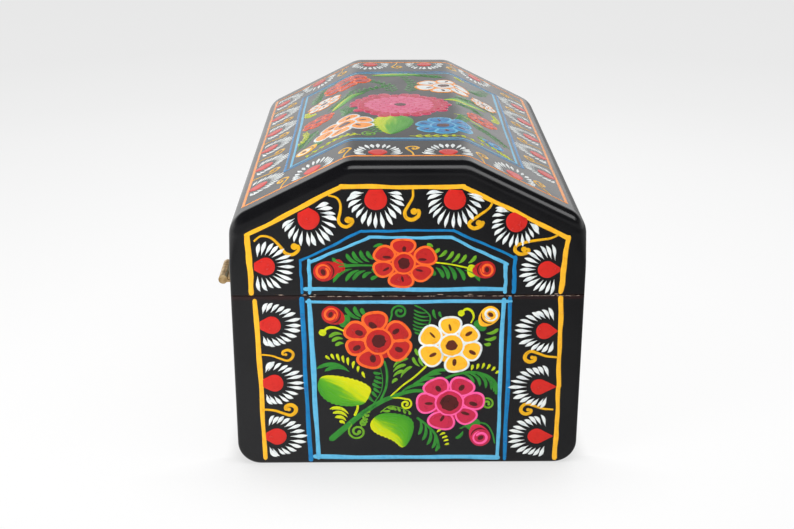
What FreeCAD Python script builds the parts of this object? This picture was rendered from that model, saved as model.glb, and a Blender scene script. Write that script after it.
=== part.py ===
import FreeCAD, Part
import math
import os

# A small painted chest box: a rebated base, a coopered lid with a six-sided
# section, two brass butt hinges let into the rims, and a swing hook in front.
# X runs along the box, +Y is the back where the hinges are, Z is up, and the
# origin is in the middle of the underside. All sizes are in millimetres.

V = FreeCAD.Vector

# Overall sizes
box_length = 170.0
box_width = 120.0
base_height = 64.4
seam_gap = 0.3
lid_wall_height = 26.0
lid_rise = 20.0
crown_width = 40.0

# Boards
wall = 9.5
bottom_thickness = 7.0
lid_board = 8.0
end_plate = 5.0
bottom_round = 8.0
edge_break = 1.2
shoulder_round = 9.2
ridge_round = 10.0
lid_end_round = 4.5
round_fade = 10.0

# Butt hinges
hinge_length = 16.0
hinge_inset = 15.3
knuckle_count = 3
knuckle_gap = 0.3
barrel_radius = 1.6
barrel_offset = 4.4
pin_radius = 0.8
leaf_thickness = 0.8
leaf_seat = 8.0
mortise_clearance = 0.1

# Hinge screws, two in each leaf
screw_spacing = 8.5
screw_length = 9.0
screw_radius = 1.0

# Swing hook, its pivot screw and its stud
hook_reach = 20.0
hook_thickness = 1.2
hook_eye_radius = 3.0
hook_arm_width = 3.2
hook_nose_radius = 3.2
hook_tail_length = 5.0
hook_tail_radius = 1.2
hook_pivot_height = 13.3
hook_standoff = 0.3
pivot_radius = 1.2
stud_radius = 1.0
head_radius = 2.4
head_height = 1.3
head_chamfer = 0.5
wood_screw_depth = 6.0

# Fits
fixed_clearance = 0.02
running_clearance = 0.05
hook_clearance = 0.3
overrun = 1.0

# Places worked out from the sizes above
half_length = box_length / 2
half_width = box_width / 2
inner_half_length = half_length - wall
inner_half_width = half_width - wall
plate_inner_x = half_length - end_plate
lid_base_z = base_height + seam_gap
shoulder_z = lid_base_z + lid_wall_height
crown_z = shoulder_z + lid_rise
half_crown = crown_width / 2
hinge_y = half_width + barrel_offset
hinge_z = base_height + seam_gap / 2
hinge_x = half_length - hinge_inset - hinge_length / 2
screw_head_radius = screw_radius + leaf_thickness
hook_y = -half_width - hook_standoff
hook_z = lid_base_z + hook_pivot_height


def block(x0, x1, y0, y1, z0, z1):
    """A plain box between two corners."""
    return Part.makeBox(x1 - x0, y1 - y0, z1 - z0, V(x0, y0, z0))


def prism(points, x0, x1):
    """A section given as (y, z) points, carried along X from x0 to x1."""
    corners = [V(x0, y, z) for y, z in points]
    face = Part.Face(Part.makePolygon(corners + corners[:1]))
    return face.extrude(V(x1 - x0, 0, 0))


def cylinder_x(radius, x0, x1, y, z):
    """A round bar along X."""
    return Part.makeCylinder(radius, x1 - x0, V(x0, y, z), V(1, 0, 0))


def edges_along_x(shape, places):
    """The edges that run along X through the given (y, z) places."""
    found = []
    for edge in shape.Edges:
        box = edge.BoundBox
        middle = (box.Center.y, box.Center.z)
        thin = max(box.YLength, box.ZLength) < fixed_clearance
        if thin and any(math.dist(middle, place) < fixed_clearance for place in places):
            found.append(edge)
    return found


def outer_edges(shape, x_face):
    """The edges of the end face at x_face, apart from those that lie on the rim."""
    face_edges = []
    for edge in shape.Edges:
        box = edge.BoundBox
        on_face = box.XLength < fixed_clearance and abs(box.Center.x - x_face) < fixed_clearance
        on_rim = box.ZLength < fixed_clearance and rim_level(box.Center.z)
        if on_face and not on_rim:
            face_edges.append(edge)
    return face_edges


def rim_level(z):
    """True at the height of the base rim or of the lid rim."""
    return min(abs(z - base_height), abs(z - lid_base_z)) < fixed_clearance


def mirrored(shape):
    """The same piece at the other end of the box."""
    return shape.mirror(V(0, 0, 0), V(1, 0, 0))


# Base

def base_outline():
    """The base's full outline: a box whose long lower edges are rounded."""
    outline = block(-half_length, half_length, -half_width, half_width, 0, base_height)
    lower_edges = edges_along_x(outline, [(-half_width, 0), (half_width, 0)])
    return outline.makeFillet(bottom_round, lower_edges)


def base_end():
    """The right end board: a full plate, rebated so that the other boards lap its inner half."""
    reach = half_width + overrun
    slab = block(plate_inner_x, half_length, -reach, reach, 0, base_height)
    plate = base_outline().common(slab)
    plate = plate.makeChamfer(edge_break, outer_edges(plate, half_length))
    tongue = block(inner_half_length, plate_inner_x, -inner_half_width, inner_half_width,
                   bottom_thickness, base_height)
    return plate.fuse(tongue).removeSplitter()


def base_front():
    """The front long board, between the two end plates."""
    board = block(-plate_inner_x, plate_inner_x, -half_width, -inner_half_width, 0, base_height)
    return base_outline().common(board)


def base_back():
    """The back long board: the front one mirrored, with seats for the hinges in its rim."""
    board = base_front().mirror(V(0, 0, 0), V(0, 1, 0))
    return board.cut(hinge_seats(-1))


def base_bottom():
    """The bottom board, between the long boards and under the end boards' tongues."""
    return block(-plate_inner_x, plate_inner_x, -inner_half_width, inner_half_width,
                 0, bottom_thickness)


# Lid

slope_angle = math.atan2(lid_rise, half_width - half_crown)
inner_crown_z = crown_z - lid_board
slope_drop = lid_board / math.cos(slope_angle)
inner_shoulder_z = shoulder_z + wall * math.tan(slope_angle) - slope_drop
inner_half_crown = half_crown + (lid_board - slope_drop) / math.tan(slope_angle)
shoulder_turn = math.pi / 2 - slope_angle
upright_top_z = shoulder_z - shoulder_round * math.tan(shoulder_turn / 2)

outer_shoulder = (half_width, shoulder_z)
outer_ridge = (half_crown, crown_z)
inner_shoulder = (inner_half_width, inner_shoulder_z)
inner_ridge = (inner_half_crown, inner_crown_z)


def across(point):
    """The same section point on the front half of the lid."""
    return (-point[0], point[1])


def lid_outline():
    """The lid's full outline: a six-sided section with softened shoulders and ridges."""
    section = [(half_width, lid_base_z), outer_shoulder, outer_ridge,
               across(outer_ridge), across(outer_shoulder), (-half_width, lid_base_z)]
    outline = prism(section, -half_length, half_length)
    shoulders = edges_along_x(outline, [outer_shoulder, across(outer_shoulder)])
    outline = outline.makeFillet(shoulder_round, shoulders)
    ridges = edges_along_x(outline, [outer_ridge, across(outer_ridge)])
    return outline.makeFillet(ridge_round, ridges)


def lid_board_from(section):
    """One long board of the lid: its mitred section, trimmed to the softened outline."""
    return lid_outline().common(prism(section, -plate_inner_x, plate_inner_x))


def lid_back_rail():
    """The upright back wall of the lid, with seats for the hinges in its rim."""
    section = [(half_width, lid_base_z), outer_shoulder, inner_shoulder, (inner_half_width, lid_base_z)]
    return lid_board_from(section).cut(hinge_seats(1))


def lid_front_rail():
    """The upright front wall of the lid."""
    section = [(half_width, lid_base_z), outer_shoulder, inner_shoulder, (inner_half_width, lid_base_z)]
    return lid_board_from([across(point) for point in section])


def lid_slope(turn):
    """A sloping board; turn picks the back one as it is or the front one across the middle."""
    section = [outer_shoulder, outer_ridge, inner_ridge, inner_shoulder]
    return lid_board_from([turn(point) for point in section])


def lid_crown():
    """The flat top board, mitred to both slopes."""
    return lid_board_from([outer_ridge, across(outer_ridge), across(inner_ridge), inner_ridge])


def lid_end():
    """The right end board of the lid: a six-sided plate with a deep rounding that fades
    down its upright sides, and a tongue that the long boards lap."""
    section = [(inner_half_width, lid_base_z), inner_shoulder, inner_ridge]
    section = section + [across(point) for point in reversed(section)]
    tongue = prism(section, inner_half_length, plate_inner_x)
    return upright_plate().fuse(gable_plate()).fuse(tongue).removeSplitter()


def gable_plate():
    """The end plate over the shoulders, slopes and crown, with the full rounding round its face."""
    reach = half_width + overrun
    slab = block(plate_inner_x, half_length, -reach, reach, lid_base_z, crown_z + overrun)
    plate = lid_outline().common(slab)
    plate = plate.makeFillet(lid_end_round, outer_edges(plate, half_length))
    above = block(plate_inner_x, half_length, -reach, reach, upright_top_z, crown_z + overrun)
    return plate.common(above)


def upright_plate():
    """The end plate between its upright sides, where the rounding runs out to the plain edge break."""
    plate = block(plate_inner_x, half_length, -half_width, half_width, lid_base_z, upright_top_z)
    fade_z = upright_top_z - round_fade
    sections = [corner_section(edge_break, lid_base_z), corner_section(edge_break, fade_z),
                corner_section(lid_end_round, upright_top_z)]
    back_waste = Part.makeLoft(sections, True, True)
    front_waste = back_waste.mirror(V(0, 0, 0), V(0, 1, 0))
    return plate.cut([back_waste, front_waste])


def corner_section(radius, z):
    """What the rounding takes off the back outer corner at the height z, out past both faces."""
    start = V(half_length - radius, half_width, z)
    end = V(half_length, half_width - radius, z)
    bulge = radius * (1 - math.sin(math.pi / 4))
    middle = V(half_length - bulge, half_width - bulge, z)
    outside = [end, V(half_length + overrun, end.y, z), V(half_length + overrun, half_width + overrun, z),
               V(start.x, half_width + overrun, z), start]
    return Part.Wire([Part.Arc(start, middle, end).toShape()] + Part.makePolygon(outside).Edges)


# Hinges

def leaf_face_z(side):
    """Height of a leaf's face at the seam: -1 for the base leaf and 1 for the lid leaf."""
    return base_height if side < 0 else lid_base_z


def leaf_block(x, side, depth, grow):
    """The flat of a leaf from its inner edge out to the pin, grown on three sides."""
    half = hinge_length / 2 + grow
    near = leaf_face_z(side)
    far = near + side * depth
    inner_y = half_width - leaf_seat - grow
    return block(x - half, x + half, inner_y, hinge_y, min(near, far), max(near, far))


def screw_places(x):
    """Where a leaf's two screws stand."""
    y = half_width - leaf_seat / 2
    return [(x - screw_spacing / 2, y), (x + screw_spacing / 2, y)]


def hinge_screw(x, y, side, grow):
    """A countersunk screw from the leaf's face into the wood, turned about its own axis.
    Its head is as deep as the leaf is thick."""
    head_z = side * leaf_thickness
    tip_z = side * (screw_length + grow)
    profile = [V(0, 0, 0), V(screw_head_radius + grow, 0, 0), V(screw_radius + grow, 0, head_z),
               V(screw_radius + grow, 0, tip_z), V(0, 0, tip_z), V(0, 0, 0)]
    turned = Part.Face(Part.makePolygon(profile)).revolve(V(0, 0, 0), V(0, 0, 1))
    turned.translate(V(x, y, leaf_face_z(side)))
    return turned


def hinge_seats(side):
    """What both hinges take out of a rim: the leaf mortises and the screws' pilot holes."""
    cuts = []
    for x in (-hinge_x, hinge_x):
        cuts.append(leaf_block(x, side, leaf_thickness, mortise_clearance))
        for place_x, place_y in screw_places(x):
            cuts.append(hinge_screw(place_x, place_y, side, fixed_clearance))
    return Part.makeCompound(cuts)


def knuckle_spans(x):
    """Start and end of each knuckle along the barrel, in order."""
    length = (hinge_length - (knuckle_count - 1) * knuckle_gap) / knuckle_count
    starts = [x - hinge_length / 2 + place * (length + knuckle_gap) for place in range(knuckle_count)]
    return [(start, start + length) for start in starts]


def hinge_leaf(x, side):
    """A leaf with its knuckles: the base leaf has the first and every second one after it,
    the lid leaf those between. Each is cut back round the other's knuckles and bored for the pin."""
    leaf = leaf_block(x, side, leaf_thickness, 0)
    spans = knuckle_spans(x)
    own = spans[0::2] if side < 0 else spans[1::2]
    other = spans[1::2] if side < 0 else spans[0::2]
    first, last = spans[0][0] - overrun, spans[-1][1] + overrun
    bore_fit = fixed_clearance if side < 0 else running_clearance
    for start, end in own:
        leaf = leaf.fuse(cylinder_x(barrel_radius, start, end, hinge_y, hinge_z))
    for start, end in other:
        sweep_radius = barrel_radius + knuckle_gap
        leaf = leaf.cut(cylinder_x(sweep_radius, start - knuckle_gap, end + knuckle_gap, hinge_y, hinge_z))
    leaf = leaf.cut(cylinder_x(pin_radius + bore_fit, first, last, hinge_y, hinge_z))
    for place_x, place_y in screw_places(x):
        leaf = leaf.cut(hinge_screw(place_x, place_y, side, fixed_clearance))
    return leaf.removeSplitter()


def hinge_pin(x):
    """The hinge pin, as long as the barrel."""
    return cylinder_x(pin_radius, x - hinge_length / 2, x + hinge_length / 2, hinge_y, hinge_z)


def hinge_screws(side):
    """All four screws that hold one side of both hinges."""
    places = screw_places(-hinge_x) + screw_places(hinge_x)
    return Part.makeCompound([hinge_screw(x, y, side, 0) for x, y in places])


# Hook

def cylinder_y(radius, y0, y1, x, z):
    """A round bar along Y."""
    return Part.makeCylinder(radius, y1 - y0, V(x, y0, z), V(0, 1, 0))


def hook():
    """The hook, swung aside: an eye, an arm along +X, a nose with an open throat that is an
    arc about the pivot, and a short finger tail."""
    outer_y = hook_y - hook_thickness
    eye = cylinder_y(hook_eye_radius, outer_y, hook_y, 0, hook_z)
    half_arm = hook_arm_width / 2
    arm = block(0, hook_reach, outer_y, hook_y, hook_z - half_arm, hook_z + half_arm)
    nose = cylinder_y(hook_nose_radius, outer_y, hook_y, hook_reach, hook_z)
    tail_end = hook_reach + hook_nose_radius + hook_tail_length
    tail = block(hook_reach, tail_end, outer_y, hook_y, hook_z, hook_z + 2 * hook_tail_radius)
    tip = cylinder_y(hook_tail_radius, outer_y, hook_y, tail_end, hook_z + hook_tail_radius)
    blank = eye.fuse([arm, nose, tail, tip]).removeSplitter()
    blank = blank.cut(cylinder_y(pivot_radius + running_clearance, outer_y, hook_y, 0, hook_z))
    return blank.cut(hook_throat(outer_y)).removeSplitter()


def hook_throat(outer_y):
    """The open throat: a ring about the pivot, below the arm, with a round end for the stud."""
    half_gap = stud_radius + hook_clearance
    ring = cylinder_y(hook_reach + half_gap, outer_y, hook_y, 0, hook_z)
    ring = ring.cut(cylinder_y(hook_reach - half_gap, outer_y, hook_y, 0, hook_z))
    below = block(0, hook_reach + hook_nose_radius, outer_y, hook_y, hook_z - hook_reach, hook_z)
    seat = cylinder_y(half_gap, outer_y, hook_y, hook_reach, hook_z)
    return ring.common(below).fuse(seat)


def headed_screw(shank_radius, x, z):
    """A screw that stands in the front: the flat back of its eased head clears the hook's thickness."""
    head_y = hook_y - hook_thickness - hook_clearance
    tip_y = -half_width + wood_screw_depth
    top_y = head_y - head_height
    shank = cylinder_y(shank_radius, head_y, tip_y, x, z)
    head = cylinder_y(head_radius, top_y, head_y, x, z)
    rim = [edge for edge in head.Edges if edge.BoundBox.YMax < top_y + fixed_clearance]
    return shank.fuse(head.makeChamfer(head_chamfer, rim)).removeSplitter()


def drilled(board, shank_radius, x, z):
    """A front board with the hole for a headed screw."""
    tip_y = -half_width + wood_screw_depth
    hole = cylinder_y(shank_radius + fixed_clearance, -half_width - overrun, tip_y + fixed_clearance, x, z)
    return board.cut(hole)


# Every piece under its own name

stud_z = hook_z - hook_reach
right_base_end = base_end()
right_lid_end = lid_end()

pieces = {
    "base_front": drilled(base_front(), stud_radius, 0, stud_z),
    "base_back": base_back(),
    "base_end_left": mirrored(right_base_end),
    "base_end_right": right_base_end,
    "base_bottom": base_bottom(),
    "lid_front_rail": drilled(lid_front_rail(), pivot_radius, 0, hook_z),
    "lid_back_rail": lid_back_rail(),
    "lid_front_slope": lid_slope(across),
    "lid_back_slope": lid_slope(tuple),
    "lid_crown": lid_crown(),
    "lid_end_left": mirrored(right_lid_end),
    "lid_end_right": right_lid_end,
    "hinge_left_base_leaf": hinge_leaf(-hinge_x, -1),
    "hinge_left_lid_leaf": hinge_leaf(-hinge_x, 1),
    "hinge_left_pin": hinge_pin(-hinge_x),
    "hinge_right_base_leaf": hinge_leaf(hinge_x, -1),
    "hinge_right_lid_leaf": hinge_leaf(hinge_x, 1),
    "hinge_right_pin": hinge_pin(hinge_x),
    "base_hinge_screws": hinge_screws(-1),
    "lid_hinge_screws": hinge_screws(1),
    "hook": hook(),
    "hook_screw": headed_screw(pivot_radius, 0, hook_z),
    "hook_stud": headed_screw(stud_radius, 0, stud_z),
}

os.makedirs("parts", exist_ok=True)
for name, shape in pieces.items():
    shape.exportStep("parts/" + name + ".step")
    print(name, len(shape.Solids), shape.isValid(), round(shape.Volume))
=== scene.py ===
# %% [markdown]
# # A painted chest box
# The box is a small wooden chest with a hinged lid of six-sided section, coated in black lacquer and
# painted by hand with flowers and a border of rosettes. Its boards, hinges and hook are already built as
# solids. This lesson gives them their looks: bare wood inside, a coat of lacquer outside, and paint that
# lies on the lacquer as thin raised strokes. The solids are loaded first, because everything else is
# measured from them.

import collections
import math

import bmesh
import bpy
import numpy as np
from mathutils import Matrix, Vector


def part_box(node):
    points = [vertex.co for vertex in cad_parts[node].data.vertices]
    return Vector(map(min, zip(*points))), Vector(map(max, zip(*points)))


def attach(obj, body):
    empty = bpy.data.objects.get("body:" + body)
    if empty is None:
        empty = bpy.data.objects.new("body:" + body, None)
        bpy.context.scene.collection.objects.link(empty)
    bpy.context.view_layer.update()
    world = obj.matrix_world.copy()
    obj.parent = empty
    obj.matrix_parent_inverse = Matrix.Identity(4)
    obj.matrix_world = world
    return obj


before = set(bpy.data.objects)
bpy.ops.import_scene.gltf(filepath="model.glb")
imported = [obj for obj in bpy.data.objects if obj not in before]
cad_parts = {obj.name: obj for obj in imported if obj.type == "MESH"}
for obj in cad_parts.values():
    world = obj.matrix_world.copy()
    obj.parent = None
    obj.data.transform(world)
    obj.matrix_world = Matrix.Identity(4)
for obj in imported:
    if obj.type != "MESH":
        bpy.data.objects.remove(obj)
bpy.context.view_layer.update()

# %% [markdown]
# ## Sizes
# The painter measures in millimetres, and so does this lesson. The outer faces are read from the solids'
# own boxes, so that the coat and the paint follow them. Only what a box can't tell is written down: the
# lid's corners and how far each is rounded.

# %% Measure the box
MM = 0.001
half_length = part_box("base_end_right")[1].x / MM
half_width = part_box("base_front")[0].y / -MM
base_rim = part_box("base_front")[1].z / MM
lid_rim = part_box("lid_front_rail")[0].z / MM
crown_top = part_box("lid_crown")[1].z / MM

lid_rise = 20.0
shoulder_height = crown_top - lid_rise
half_crown = 20.0
bottom_round = 8.0
shoulder_round = 9.2
ridge_round = 10.0
edge_break = 1.2
lid_end_round = 4.5
round_fade = 10.0

coat = 0.1
chance = np.random.default_rng(11)
print("half length", half_length, "half width", half_width, "rims", base_rim, lid_rim, "top", crown_top)

# %% [markdown]
# ## The section's outline
# Cut across, the box is a line of straight runs with softened corners: a U for the base and a six-sided
# arch for the lid. A Bevel modifier could round such corners, but the paint on the lid also has to know
# where the outline runs, so the line is worked out once, with the direction that faces outwards at each
# point, and both the coat and the paint use it.

# %% Outline with softened corners
def softened(corners, radii, arc_steps=14, run_step=5.0, margin=0.5):
    """Points and outward normals along a line of straight runs joined by arcs.
    An arc begins radius * tan(turn / 2) before its corner, and its points are the arc's middle plus
    the radius times a normal that swings evenly from one run's normal to the next one's.
    Each run has a point a small margin from either end, so that its flat part stays flat in shading."""
    corners = np.asarray(corners, float)
    runs = np.diff(corners, axis=0)
    lengths = np.linalg.norm(runs, axis=1)
    runs = runs / lengths[:, None]
    facing = np.stack([runs[:, 1], -runs[:, 0]], -1)
    turns = np.arccos(np.clip((runs[1:] * runs[:-1]).sum(1), -1, 1))
    cuts = np.concatenate([[0.0], np.asarray(radii) * np.tan(turns / 2), [0.0]])
    points, normals = [], []
    for place in range(len(runs)):
        start = corners[place] + runs[place] * cuts[place]
        length = lengths[place] - cuts[place] - cuts[place + 1]
        inner = np.linspace(margin, length - margin, max(2, round(length / run_step)))
        along = np.concatenate([[0.0], inner, [length]])
        points.append(start + along[:, None] * runs[place])
        normals.append(np.repeat(facing[place:place + 1], len(along), 0))
        if place < len(radii):
            share = np.linspace(0, 1, arc_steps + 1)[1:-1, None]
            angle = turns[place]
            swing = np.sin((1 - share) * angle) * facing[place] + np.sin(share * angle) * facing[place + 1]
            swing = swing / np.sin(angle)
            middle = points[-1][-1] - radii[place] * facing[place]
            points.append(middle + radii[place] * swing)
            normals.append(swing)
    return np.concatenate(points), np.concatenate(normals)


base_corners = [(-half_width, base_rim), (-half_width, 0), (half_width, 0), (half_width, base_rim)]
base_line, base_facing = softened(base_corners, [bottom_round, bottom_round])

lid_corners = [(half_width, lid_rim), (half_width, shoulder_height), (half_crown, crown_top)]
lid_corners = lid_corners + [(-across, up) for across, up in reversed(lid_corners)]
lid_rounds = [shoulder_round, ridge_round, ridge_round, shoulder_round]
lid_line, lid_facing = softened(lid_corners, lid_rounds, run_step=2.5)

lid_run = np.concatenate([[0.0], np.cumsum(np.linalg.norm(np.diff(lid_line, axis=0), axis=1))])
lid_run = lid_run - lid_run[-1] / 2
print("outline points:", len(base_line), len(lid_line), "lid outline length", round(np.ptp(lid_run), 1))

# %% [markdown]
# ## From grids to pieces
# Every new surface here is a grid of points: rows one way, columns the other. One helper turns grids into
# a mesh. It joins each point to the next row and the next column with a four-sided face, gives every face
# the grid's own two directions as a map called "brush", and then merges points that fall together, which
# closes the seams and poles.

# %% Grids to mesh
def grid_faces(rows, columns, first):
    """Four corner numbers for each face of a grid whose points are numbered row by row from first."""
    corner = first + (np.arange(rows - 1)[:, None] * columns + np.arange(columns - 1)).reshape(-1, 1)
    return corner + np.array([0, columns, columns + 1, 1])


def batch_faces(shape, first):
    """The faces of a batch of equal grids, given as (grids, rows, columns)."""
    count, rows, columns = shape
    one = grid_faces(rows, columns, 0)
    starts = first + np.arange(count) * rows * columns
    return (starts[:, None, None] + one).reshape(-1, 4)


def brush_map(shape):
    """The share of the way along and across each grid, for every corner of every face."""
    count, rows, columns = shape
    along, across = np.meshgrid(np.linspace(0, 1, rows), np.linspace(0, 1, columns), indexing="ij")
    flat = np.stack([along.ravel(), across.ravel()], -1)
    return np.tile(flat[grid_faces(rows, columns, 0).ravel()], (count, 1))


weld_reach = 2e-7
crease_angle = math.radians(38)


def build_piece(name, batches, body, surface, maps=None):
    """One mesh piece from batches of grids in millimetres, each shaped (grids, rows, columns, 3)."""
    first, points, faces = 0, [], []
    for batch in batches:
        faces.append(batch_faces(batch.shape[:3], first))
        points.append(batch.reshape(-1, 3) * MM)
        first = first + len(points[-1])
    if maps is None:
        maps = [brush_map(batch.shape[:3]) for batch in batches]
    mesh = bpy.data.meshes.new(name)
    mesh.from_pydata(np.concatenate(points), [], np.concatenate(faces))
    layer = mesh.uv_layers.new(name="brush")
    layer.data.foreach_set("uv", np.concatenate(maps).astype(np.float32).ravel())
    welded = bmesh.new()
    welded.from_mesh(mesh)
    bmesh.ops.remove_doubles(welded, verts=welded.verts, dist=weld_reach)
    welded.to_mesh(mesh)
    welded.free()
    mesh.shade_smooth()
    mesh.set_sharp_from_angle(angle=crease_angle)
    mesh.materials.append(surface)
    piece = bpy.data.objects.new(name, mesh)
    bpy.context.scene.collection.objects.link(piece)
    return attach(piece, body)


print("grid helper ready:", len(grid_faces(4, 5, 0)), "faces in a grid of 4 by 5 points")

# %% [markdown]
# ## Finishes
# A finish is a shader with a pattern in it. Its colours are written as they look on a screen and turned
# into linear light. Patterns read Object coordinates, which stay with the piece as it moves, or the
# "brush" map where a streak has to follow a stroke.

# %% Finish helpers
def tint(red, green, blue):
    """A colour given as screen values from 0 to 255, as the linear light that a shader takes."""
    screen = np.array([red, green, blue]) / 255
    light = np.where(screen > 0.04045, ((screen + 0.055) / 1.055) ** 2.4, screen / 12.92)
    return (*light.tolist(), 1.0)


def new_finish(name):
    """A new material, its node tree and its main shader."""
    finish = bpy.data.materials.new(name)
    finish.use_nodes = True
    return finish, finish.node_tree, finish.node_tree.nodes["Principled BSDF"]


def node(tree, kind, inputs=None, **settings):
    """A node with settings. Its inputs are numbers to set, or output sockets to link, by name or place."""
    made = tree.nodes.new(kind)
    for name, value in settings.items():
        setattr(made, name, value)
    for name, value in (inputs or {}).items():
        if isinstance(value, bpy.types.NodeSocket):
            tree.links.new(value, made.inputs[name])
        else:
            made.inputs[name].default_value = value
    return made


def arithmetic(tree, operation, *values):
    """The result of an operation on numbers or output sockets."""
    return node(tree, "ShaderNodeMath", dict(enumerate(values)), operation=operation).outputs[0]


def ramp(tree, source, stops):
    """Colours blended over a value: stops are (place, colour)."""
    made = node(tree, "ShaderNodeValToRGB", {"Fac": source})
    bar = made.color_ramp.elements
    while len(bar) < len(stops):
        bar.new(0.5)
    for element, (place, colour) in zip(bar, stops):
        element.position = place
        element.color = colour
    return made.outputs["Color"]


def speckle(tree, scale, stretch=(1, 1, 1), detail=4.0, source=None):
    """Soft noise over Object coordinates, or over another vector. A small number in stretch draws it out
    along that axis."""
    if source is None:
        source = node(tree, "ShaderNodeTexCoord").outputs["Object"]
    placed = node(tree, "ShaderNodeMapping", {"Vector": source, "Scale": stretch})
    pattern = {"Vector": placed.outputs["Vector"], "Scale": scale, "Detail": detail}
    return node(tree, "ShaderNodeTexNoise", pattern).outputs["Fac"]


def between(tree, source, low, high, start=0.3, end=0.7):
    """A value moved from the range start to end into the range low to high."""
    ranges = {"From Min": start, "From Max": end, "To Min": low, "To Max": high}
    return node(tree, "ShaderNodeMapRange", {"Value": source, **ranges}).outputs["Result"]


def dented(tree, shader, source, depth, strength=0.5):
    """Bump of a small depth in metres."""
    bump = node(tree, "ShaderNodeBump", {"Height": source, "Distance": depth, "Strength": strength})
    tree.links.new(bump.outputs["Normal"], shader.inputs["Normal"])


print("finish helpers ready; mid grey is", tint(128, 128, 128)[:3])

# %% [markdown]
# ## The lacquer coat
# On the real box, primer and black lacquer cover the boards and hide their joints. The coat could be a
# colour on the boards themselves, but then every joint would show as a hard line. Here it is a shell of
# its own, a tenth of a millimetre proud: the outline is carried from one end to the other, and at each
# end it rolls over the rounded edge and runs in to the middle of the rim. The shell has an inner side
# too, so it is a closed skin. The lid's end edge is rounded deeply over the top and less and less down
# the sides.

# %% Lacquer shell
def shell_rows(outline, facing, rounding, proud):
    """The outline carried along the box, as a grid (rows, outline points, 3).
    Over the end edge, a quarter turn from the end face to the side moves a point in from the outline by
    radius * (1 - sin turn) and along the box by radius * (1 - cos turn). On the end face the
    drawn-in outline shrinks towards the middle of the rim. The other half of the box is a mirror image."""
    outer = outline + facing * proud
    reach = half_length + proud
    pole = np.array([0.0, outline[0, 1]])
    turn = np.linspace(0, math.pi / 2, 10)[:, None]
    rolled = outer - (rounding * (1 - np.sin(turn)))[..., None] * facing
    rolled_x = -reach + rounding * (1 - np.cos(turn))
    cap_share = np.array([0.0, 0.3, 0.65, 0.97])[:, None, None]
    cap = pole + cap_share * (rolled[0] - pole)
    cap_x = np.full(cap.shape[:2], -reach)
    side_share = np.array([0.004, 0.06, 0.2, 0.35, 0.5])[:, None]
    side = np.repeat(outer[None], len(side_share), 0)
    side_x = rolled_x[-1] * (1 - 2 * side_share)
    section = np.concatenate([cap, rolled, side])
    x = np.concatenate([cap_x, rolled_x, side_x])
    section = np.concatenate([section, section[-2::-1]])
    x = np.concatenate([x, -x[-2::-1]])
    return np.concatenate([x[..., None], section], -1)


def lacquer_shell(name, outline, facing, rounding, body, surface):
    """A closed skin: the outer rows, joined round the rim to rows a little inside the boards' faces."""
    outside = shell_rows(outline, facing, rounding, coat)
    inside = shell_rows(outline, facing, rounding, -coat / 2)
    loop = np.concatenate([outside, inside[:, ::-1], outside[:, :1]], 1)
    return build_piece(name, [loop[None]], body, surface)


def rounding_along(outline):
    """The end edge's rounding at each outline point of the lid: full over the shoulders and above them, and
    running out evenly to the plain edge break a little way down the upright sides."""
    shoulder_turn = math.atan2(half_width - half_crown, lid_rise)
    full_above = shoulder_height - shoulder_round * math.tan(shoulder_turn / 2)
    share = np.clip((outline[:, 1] - full_above) / round_fade + 1, 0, 1)
    return edge_break + (lid_end_round - edge_break) * share


base_rounding = np.full(len(base_line), edge_break)
lid_rounding = rounding_along(lid_line)
least, most = lid_rounding.min(), lid_rounding.max()
print("the lid's end edge is rounded by", least.round(2), "to", most.round(2), "mm")

# %% [markdown]
# ## Black lacquer
# The lacquer is nearly black and glossy. It was brushed on, so it has faint ripples, and just under the
# seam it is rubbed brown in patches. One flat black would do from afar, but close up it would look like
# plastic, so noise moves its tone and its gloss a little, and the wear is a band measured from the seam.

# %% Lacquer finish
def from_seam(tree):
    """A point's height above the middle of the gap between base and lid, in metres."""
    place = node(tree, "ShaderNodeTexCoord").outputs["Object"]
    height = node(tree, "ShaderNodeSeparateXYZ", {"Vector": place}).outputs["Z"]
    seam = (base_rim + lid_rim) / 2 * MM
    return arithmetic(tree, "SUBTRACT", height, seam)


def mixed(tree, share, first, second):
    """Two colours blended by a share; either may be a plain colour or an output socket."""
    made = node(tree, "ShaderNodeMix", {"Factor": share, "A": first, "B": second}, data_type="RGBA")
    return [out for out in made.outputs if out.type == "RGBA"][0]


def lacquer_finish():
    """Black lacquer: nearly black and glossy, with faint brush ripples, and rubbed brown in patches just
    under the seam."""
    finish, tree, shader = new_finish("black_lacquer")
    cloud = speckle(tree, 60)
    fine = speckle(tree, 900, detail=2.0)
    above = from_seam(tree)
    under = between(tree, above, 1, 0, start=0, end=0.4 * MM)
    near = between(tree, above, 0, 1, start=-1.8 * MM, end=-1.2 * MM)
    patchy = between(tree, speckle(tree, 120, detail=6.0), 0.3, 1, start=0.36, end=0.6)
    band = arithmetic(tree, "MULTIPLY", under, near)
    worn = arithmetic(tree, "MULTIPLY", band, patchy)
    black = ramp(tree, cloud, [(0.3, tint(14, 14, 16)), (0.7, tint(20, 20, 22))])
    tree.links.new(mixed(tree, worn, black, tint(40, 17, 17)), shader.inputs["Base Color"])
    tree.links.new(between(tree, cloud, 0.14, 0.22), shader.inputs["Roughness"])
    dented(tree, shader, fine, depth=0.00001, strength=0.3)
    return finish


lacquer = lacquer_finish()
base_shell = lacquer_shell("base_lacquer", base_line, base_facing, base_rounding, "base", lacquer)
lid_shell = lacquer_shell("lid_lacquer", lid_line, lid_facing, lid_rounding, "lid", lacquer)
for shell in (base_shell, lid_shell):
    print(shell.name, len(shell.data.polygons), "faces")

# %% [markdown]
# ## Bare wood inside
# Inside, where the lacquer stops, the boards are pale bare wood; only on the rims, where the lid meets
# the base, has some lacquer run over and stained them. Grain is noise stretched a long way in the
# direction the board was sawn: along the box for the long boards and across it for the ends.

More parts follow.
